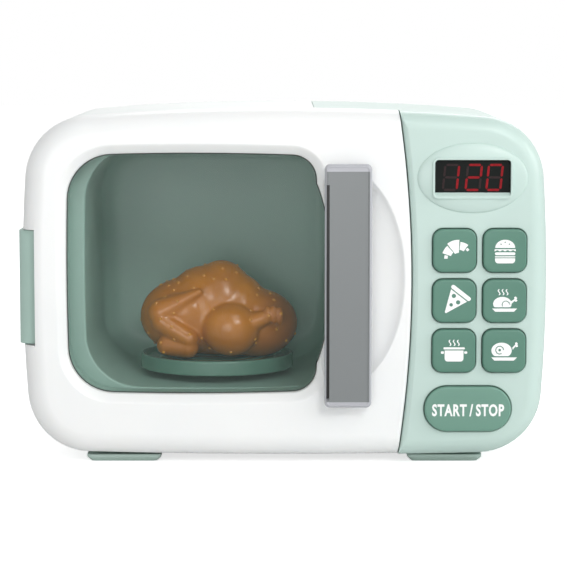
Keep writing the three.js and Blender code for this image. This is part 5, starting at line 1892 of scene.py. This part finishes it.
@dataclass
class Marks:
    """Plain raised food marks of the square buttons.

    Attributes:
        face: Depth of the button's face.
        rise: Height of a mark over it.
    """

    face: float
    rise: float = 0.16

    def draw(self, key: Key) -> Piece:
        """Raises the drawing of one button, each shape with its cuts.

        Args:
            key: The button.

        Returns:
            One object.
        """
        def prism(points: list[Point], front: float, back: float) -> Piece:
            """One outline, moved to the button."""
            moved = [(key.x + x, key.z + z) for x, z in points]
            return Bench.prism("mark", moved, self.face - front, self.face + back)

        raised = []
        for shapes, cuts in getattr(self, f"_{key.name}")():
            for points in shapes:
                mark = prism(points, self.rise, 0.1)
                Bench.carve(mark, Cut.AWAY, *(prism(hole, 1.0, 1.0) for hole in cuts))
                if len(mark.data.polygons):
                    raised.append(mark)
        return Bench.join(f"mark_{key.name}", raised)

    @staticmethod
    def _steam(x: float, z: float, height: float) -> list[Point]:
        """A thin wavy line of steam.

        Args:
            x: Place of its foot, across.
            z: Height of its foot.
            height: Its height.

        Returns:
            The closed outline.
        """
        steps = 10
        wave = [
            (x + 0.45 * sin(2 * pi * i / steps), z + height * i / steps) for i in range(steps + 1)
        ]
        return [(px + 0.32, pz) for px, pz in wave] + [(px - 0.32, pz) for px, pz in reversed(wave)]

    @staticmethod
    def _wedge(centre: Point, inner: float, outer: float, start: float, end: float) -> list[Point]:
        """A piece of a ring, given in degrees.

        Args:
            centre: Middle of the ring.
            inner: Inner radius.
            outer: Outer radius.
            start: First angle.
            end: Last angle.

        Returns:
            The closed outline.
        """
        middle = Vector(centre)
        low, high = radians(start), radians(end)
        return arc(middle, outer, low, high, 8) + arc(middle, inner, high, low, 8)

    @staticmethod
    def _wavy(width: float, z: float, height: float, waves: int) -> list[Point]:
        """A level band with a wavy lower edge.

        Args:
            width: Its width.
            z: Height of its wavy edge.
            height: Its height.
            waves: Number of waves.

        Returns:
            The closed outline.
        """
        steps = 6 * waves
        lower = [
            (width * (i / steps - 0.5), z - 0.3 * cos(2 * pi * waves * i / steps))
            for i in range(steps + 1)
        ]
        return lower + [(width / 2, z + height), (-width / 2, z + height)]

    @staticmethod
    def _tub(half_width: float, top: float, inner: float, low: float, corner: float) -> list[Point]:
        """A flat-topped shape with round lower corners.

        Args:
            half_width: Half its width.
            top: Height of its top.
            inner: Distance of the corners' centres from the middle.
            low: Height of the corners' centres.
            corner: Radius of the corners.

        Returns:
            The closed outline.
        """
        right = arc(Vector((inner, low)), corner, 0.0, -pi / 2, 5)
        left = arc(Vector((-inner, low)), corner, -pi / 2, -pi, 5)
        return [(-half_width, top), (half_width, top)] + right + left

    def _croissant(self) -> Drawing:
        """A crescent roll in five segments.

        Returns:
            Its shapes and their cuts.
        """
        sizes = (
            (5.9, 7.3, 39, 51), (4.6, 8.8, 55, 84), (3.0, 9.9, 88, 128), (4.2, 9.0, 132, 162),
            (5.8, 7.6, 166, 181),
        )
        return [([self._wedge((2.0, -4.0), *size) for size in sizes], [])]

    def _burger(self) -> Drawing:
        """A bun with its filling in layers.

        Returns:
            Its shapes and their cuts.
        """
        top = arc(Vector((0.0, 1.6)), 5.3, 0.0, pi, 16)
        top = [(x, 1.6 + (z - 1.6) * 0.82) for x, z in top]
        bottom = self._tub(5.3, -3.9, 3.6, -4.9, 1.7)
        seeds = [ellipse(x, z, 0.45, 0.3, 10) for x, z in ((-2.2, 3.6), (0.0, 4.6), (2.2, 3.6))]
        return [([
            top, self._wavy(11.2, 0.1, 0.8, 4), rounded(0.0, -1.5, 10.8, 1.5, 0.7, 4),
            rounded(0.0, -3.15, 10.8, 0.6, 0.28, 3), bottom,
        ], seeds)]

    def _pizza(self) -> Drawing:
        """A slice with its crust and three rounds.

        Returns:
            Its shapes and their cuts.
        """
        turn = Matrix.Rotation(radians(-38), 2)

        def turned(points: list[Point]) -> list[Point]:
            """Tilts an outline about the middle."""
            return [tuple(turn @ Vector(point)) for point in points]

        crust = turned(rounded(0.0, 5.6, 12.6, 2.2, 1.05, 5))
        slice_ = turned([(-5.4, 3.9), (5.4, 3.9), (0.4, -7.8), (-0.4, -7.8)])
        rounds = [
            turned(ellipse(x, z, r, r, 16))
            for x, z, r in ((-2.0, 2.0, 1.15), (1.9, 0.7, 1.15), (-0.2, -2.6, 0.95))
        ]
        return [([crust, slice_], rounds)]

    def _roast_chicken(self) -> Drawing:
        """A roast bird on a dish under three lines of steam.

        Returns:
            Its shapes and their cuts.
        """
        body = [(x, max(z, -3.2)) for x, z in ellipse(-1.2, -1.4, 4.9, 3.7, 32)]
        bone = [
            (3.0, -1.9), (5.2, 0.1), (6.0, -0.4), (6.8, 0.3), (6.2, 1.0),
            (6.6, 1.7), (5.9, 2.5), (5.0, 2.2), (5.2, 1.2), (2.6, -0.6),
        ]
        dish = [(-5.0, -5.6), (5.0, -5.6), (6.6, -3.9), (-6.6, -3.9)]
        steam = [self._steam(x, 3.2, 3.2) for x in (-3.0, -0.9, 1.2)]
        thigh = self._wedge((0.6, -1.8), 1.7, 2.15, 20, 210)
        return [([body, dish, *steam], [thigh, self._halo(bone)]), ([bone], [])]

    @staticmethod
    def _halo(points: list[Point], grow: float = 1.1) -> list[Point]:
        """An outline swollen about its middle."""
        middle = sum((Vector(point) for point in points), Vector((0.0, 0.0))) / len(points)
        return [tuple(middle + (Vector(point) - middle) * grow) for point in points]

    def _pot(self) -> Drawing:
        """A lidded pot under three lines of steam.

        Returns:
            Its shapes and their cuts.
        """
        pan = self._tub(5.0, 0.4, 3.4, -3.9, 1.6)
        grips = [rounded(side * 6.2, -0.7, 1.6, 1.3, 0.4, 3) for side in (-1, 1)]
        lid = rounded(0.0, 1.55, 11.4, 1.1, 0.5, 4)
        steam = [self._steam(x, 2.9, 3.2) for x in (-2.2, 0.0, 2.2)]
        return [([pan, *grips, lid, *steam], [])]

    def _ham(self) -> Drawing:
        """A joint with its bone on a dish.

        Returns:
            Its shapes and their cuts.
        """
        joint = [(x, max(z, -2.6)) for x, z in ellipse(-1.4, 0.4, 5.4, 4.2, 36)]
        bone = [
            (4.5, 0.8), (6.0, 2.6), (6.6, 2.1), (7.4, 2.7), (6.9, 3.4),
            (7.2, 4.1), (6.6, 4.9), (5.7, 4.5), (5.9, 3.6), (4.3, 2.0),
        ]
        dish = [(-5.2, -5.0), (5.2, -5.0), (6.8, -3.3), (-6.8, -3.3)]
        ring = self._wedge((-2.4, 0.6), 1.9, 2.4, 0, 300)
        return [([joint, bone, dish], [ring, ellipse(-2.4, 0.6, 0.7, 0.7, 14)])]


@dataclass
class Cooking:
    """The turntable's plate and the toy roast chicken.

    Attributes:
        base: Height of the plate's floor.
        voxel: Grain of the chicken's skin, in millimetres.
        pimples: Number of raised dots on the skin.
        apart: Smallest distance between two dots.
    """

    base: float = 48.9
    voxel: float = 0.8
    pimples: int = 96
    apart: float = 5.4

    def plate(self) -> None:
        """The turned plate with its rim, grooves, hub and round socket."""
        profile = [
            (8.0, 40.8), (8.0, 46.4), (38.8, 46.4), (40.6, 46.2), (41.0, 45.6), (41.0, 43.4),
            (41.4, 43.0), (42.6, 43.0), (43.0, 43.4), (43.0, 49.9), (42.85, 50.5), (42.45, 50.9),
            (42.0, 51.0), (41.4, 50.9), (41.0, 50.6), (39.4, 49.0), (38.8, 48.7), (38.0, 48.6),
        ]
        grooves = []
        for radius in (33.0, 26.0, 19.0):
            grooves += [(radius + side, floor) for side, floor in (
                (0.7, 48.6), (0.35, 48.45), (0.0, 48.4), (-0.35, 48.45), (-0.7, 48.6),
            )]
        plate = Bench.post("plate_turned", *TURNTABLE, profile + grooves + [(2.0, 48.6)], 96)
        socket = Bench.post("socket", *TURNTABLE, [(4.9, 30.0), (4.9, 46.4)], 48)
        Bench.carve(plate, Cut.AWAY, socket)
        fit(Bench.smooth(plate), "turntable", "plate_green", PLATE_GREEN, "turntable_plate")

    def _lump(self, u: float, v: float, w: float, radii: Triple) -> Piece:
        """A swollen ball on the plate, about its middle.

        Args:
            u: Distance right of the turntable's axis.
            v: Distance behind it.
            w: Height over the plate's floor.
            radii: Radius along each axis.

        Returns:
            The ball.
        """
        Bench.clear()
        centre = place(TURNTABLE[0] + u, TURNTABLE[1] + v, self.base + w)
        bpy.ops.mesh.primitive_uv_sphere_add(segments=40, ring_count=24, location=centre)
        lump = bpy.context.active_object
        lump.scale = [radius * MM for radius in radii]
        return Bench.settle(lump)

    def _limb(self, start: Triple, end: Triple, first: float, last: float) -> list[Piece]:
        """Balls that shrink along a bone.

        Args:
            start: Start on the plate.
            end: End on the plate.
            first: Radius at the start.
            last: Radius at the end.

        Returns:
            The balls.
        """
        begin, stop = Vector(start), Vector(end)
        count = max(4, round((stop - begin).length / 2.2))
        balls = []
        for i in range(count + 1):
            share = i / count
            radius = first + (last - first) * share
            balls.append(self._lump(*begin.lerp(stop, share), (radius,) * 3))
        return balls

    def _skin(self, shape: Piece, rounds: int) -> Piece:
        """Fuses lumps into one skin and eases it.

        Args:
            shape: Joined lumps.
            rounds: Rounds of easing.

        Returns:
            The same object with its skin.
        """
        Bench.modify(
            shape, "REMESH", mode="VOXEL", voxel_size=self.voxel * MM, use_smooth_shade=True,
        )
        return Bench.modify(shape, "SMOOTH", factor=0.5, iterations=rounds)

    def chicken(self) -> None:
        """The bird: lumps and limbs fused into one skin, smoothed, with raised dots."""
        body = Bench.join("roast_body", [self._lump(u, 0.0, w, radii) for u, w, radii in (
            (2.5, 27.5, (19.5, 19.0, 26.8)), (-15.4, 22.6, (28.0, 21.0, 22.0)),
            (-7.5, 26.0, (22.0, 20.5, 25.0)), (13.0, 23.0, (17.0, 19.5, 23.2)),
            (22.0, 18.6, (23.8, 19.5, 19.6)), (0.0, 20.0, (33.0, 21.5, 20.0)),
            (35.0, 20.0, (10.0, 13.0, 9.5)),
        )])
        parts = [self._skin(body, 40)]
        for side in (-1, 1):
            parts += self._limb((-9.5, side * 19.2, 38.0), (-30.5, side * 15.5, 26.0), 2.0, 8.0)
            parts.append(self._lump(-17.5, side * 13.6, 25.0, (17.0, 8.0, 13.0)))
            parts += self._limb((-29.5, side * 17.5, 21.0), (-15.0, side * 21.0, 12.0), 6.8, 5.4)
            parts += self._limb((-27.5, side * 17.0, 8.0), (-15.5, side * 19.5, 7.0), 5.8, 6.0)
            parts.append(self._lump(8.2, side * 18.5, 16.8, (15.8, 11.5, 14.8)))
            parts += self._limb((20.0, side * 20.0, 21.0), (28.0, side * 21.5, 24.4), 5.6, 4.0)
            toes = ((29.0, 25.6), (32.4, 25.8), (35.8, 25.0))
            parts += [self._lump(u, side * 22.6, w, (2.1, 3.8, 5.3)) for u, w in toes]
        bird = self._skin(Bench.join("roast_bird", parts), 5)
        Bench.enter()
        sole = place(0.0, 0.0, self.base + SEAM)
        bpy.ops.mesh.bisect(plane_co=sole, plane_no=(0, 0, 1), use_fill=True, clear_inner=True)
        bpy.ops.object.mode_set(mode="OBJECT")
        Bench.pick(bird)
        bpy.ops.object.shade_smooth_by_angle(angle=radians(60))
        dots = self._dots(bird)
        fit(bird, "chicken", "brown", ROAST, "toy_chicken")
        fit(dots, "chicken", "brown", PIMPLE)

    def _dots(self, bird: Piece) -> Piece:
        """Raises small dots over the skin, evenly apart.

        Args:
            bird: The smooth bird.

        Returns:
            The dots.
        """
        spread = random.Random(7)
        faces = [face for face in bird.data.polygons if face.center.z > (self.base + 4.0) * MM]
        kept: list[tuple[Vector, Vector]] = []
        while len(kept) < self.pimples:
            face = spread.choice(faces)
            if all((face.center - point).length > self.apart * MM for point, _ in kept):
                kept.append((face.center.copy(), face.normal.copy()))
        Bench.clear()
        bpy.ops.mesh.primitive_ico_sphere_add(subdivisions=2, radius=1.0 * MM)
        first = bpy.context.active_object
        bpy.ops.object.shade_smooth()
        dots: list[Piece] = []
        for point, normal in kept:
            dot = Bench.copy(first, "dot")
            turn = Vector((0.0, 0.0, 1.0)).rotation_difference(normal).to_matrix().to_4x4()
            dot.data.transform(Matrix.Translation(point - normal * 0.3 * MM) @ turn)
            dots.append(dot)
        bpy.data.objects.remove(first, do_unlink=True)
        return Bench.join("roast_pimples", dots)

    def build(self) -> None:
        """Makes and dresses what stands in the cavity."""
        self.plate()
        self.chicken()


@dataclass
class Carried:
    """CAD nodes whose shape stays, each with its finish.

    Attributes:
        finishes: The finish of each node.
    """

    finishes: dict[str, Finish]

    def build(self) -> None:
        """Puts each finish on its node."""
        for node, finish in self.finishes.items():
            piece = bpy.data.objects[node]
            for slot in piece.material_slots:
                slot.material = finish.material()
            LOG.info("%s keeps its shape and gets %s", node, finish.name)


@dataclass
class Studio:
    """Floor, soft lights and camera.

    Attributes:
        camera_at: Place of the camera in metres.
        aim: Point that it looks at.
        lens: Focal length on a 36 mm sensor.
        sky: Strength of the world's light.
        glow: Strength with which the floor shows to the camera.
        lamps: Name, place, side in metres and power in watts of each lamp.
    """

    camera_at: Triple = (0.0004, -1.323, 0.232)
    aim: Triple = (0.0004, -0.07325, 0.0980)
    lens: float = 150.4
    sky: float = 0.42
    glow: float = 0.68
    lamps: tuple[tuple[str, Triple, float, float], ...] = (
        ("key_lamp", (0.8, -1.4, 1.35), 1.3, 10.0),
        ("spark_lamp", (0.55, -1.45, 0.95), 0.28, 3.6),
        ("side_lamp", (1.7, -0.6, 0.7), 0.9, 9.0),
        ("low_lamp", (-0.3, -1.9, 0.3), 0.9, 7.0),
        ("back_lamp", (0.3, 1.4, 1.3), 1.2, 10.0),
    )

    @staticmethod
    def _look(start: Triple, aim: Triple) -> Euler:
        """The turn of a camera or lamp that looks from one point at another."""
        return (Vector(aim) - Vector(start)).to_track_quat("-Z", "Y").to_euler()

    def camera(self) -> None:
        """Aims the camera as the photograph does."""
        camera = bpy.data.objects.new("camera", bpy.data.cameras.new("camera"))
        bpy.context.collection.objects.link(camera)
        camera.location = self.camera_at
        camera.rotation_euler = self._look(self.camera_at, self.aim)
        camera.data.lens, camera.data.sensor_width = self.lens, 36.0
        camera.data.clip_start, camera.data.clip_end = 0.05, 50.0
        bpy.context.scene.camera = camera

    def floor(self) -> None:
        """Lays a broad, flat, pale floor with an inner ring."""
        Bench.clear()
        bpy.ops.mesh.primitive_circle_add(vertices=64, radius=6.0, fill_type="NGON")
        floor = bpy.context.active_object
        floor.name = floor.data.name = "floor"
        Bench.enter()
        bpy.ops.mesh.inset(thickness=1.0)
        bpy.ops.object.mode_set(mode="OBJECT")
        material = bpy.data.materials.new("floor_pale")
        material.use_nodes = True
        nodes = Nodes(material.node_tree)
        shader = material.node_tree.nodes["Principled BSDF"]
        cloud = nodes.mix(nodes.noise(3.0, 2.0), (0.88, 0.88, 0.88), (0.9, 0.9, 0.9))
        seen = nodes.add("ShaderNodeLightPath").outputs["Is Camera Ray"]
        for key, value in (
            ("Base Color", cloud), ("Roughness", 0.9), ("Specular IOR Level", 0.1),
            ("Emission Color", (1.0, 1.0, 1.0)),
            ("Emission Strength", nodes.product(seen, self.glow)),
        ):
            nodes.feed(shader.inputs[key], value)
        floor.data.materials.append(material)

    def lamp(self, name: str, at: Triple, size: float, power: float) -> None:
        """One soft square lamp aimed at the object.

        Args:
            name: Name of the lamp.
            at: Its place.
            size: Its side in metres.
            power: Its power in watts.
        """
        data = bpy.data.lights.new(name, "AREA")
        data.shape, data.size, data.energy = "SQUARE", size, power
        lamp = bpy.data.objects.new(name, data)
        bpy.context.collection.objects.link(lamp)
        lamp.location = at
        lamp.rotation_euler = self._look(at, (0.0, 0.0, 0.1))

    def world(self) -> None:
        """A pale world that the camera, gloss and clear pieces see as white."""
        world = bpy.data.worlds.new("world")
        bpy.context.scene.world = world
        world.use_nodes = True
        nodes = Nodes(world.node_tree)
        rays = nodes.add("ShaderNodeLightPath")
        seen = nodes.math(
            "MAXIMUM", rays.outputs["Is Camera Ray"], rays.outputs["Is Transmission Ray"],
        )
        seen = nodes.math("MAXIMUM", seen, rays.outputs["Is Glossy Ray"])
        background = world.node_tree.nodes["Background"]
        background.inputs["Color"].default_value = (1.0, 1.0, 1.0, 1.0)
        nodes.feed(background.inputs["Strength"], nodes.span(seen, 0.0, 1.0, self.sky, 1.0))

    def build(self) -> None:
        """Sets the whole studio up."""
        self.camera()
        self.floor()
        for lamp in self.lamps:
            self.lamp(*lamp)
        self.world()
        bpy.context.scene.view_settings.view_transform = "Standard"


def main() -> None:
    """Builds the studio and every sub-assembly in turn."""
    logging.basicConfig(level=logging.INFO, format="%(message)s", stream=sys.stdout)
    Studio().build()
    screws = Turned()
    Shell().build(screws)
    screws.clear()
    Door().build()
    Panel().build()
    Cooking().build()
    Carried({
        "door_window": GLASS, "door_back_frame": SAGE, "hinge_pin": STEEL, "display_module": BLACK,
        "circuit_board": BOARD, "keypad_mat": RUBBER, "speaker": BLACK, "battery_tray": BLACK,
        "battery_contact_upper": STEEL, "battery_contact_lower": STEEL, "battery_1": CELL,
        "battery_2": CELL, "battery_3": CELL, "drive_plate": NYLON, "drive_motor": STEEL,
        "motor_pinion": NYLON, "reduction_axle": STEEL, "reduction_gear": NYLON,
        "turntable_spindle": NYLON,
    }).build()


if __name__ == "__main__":
    main()
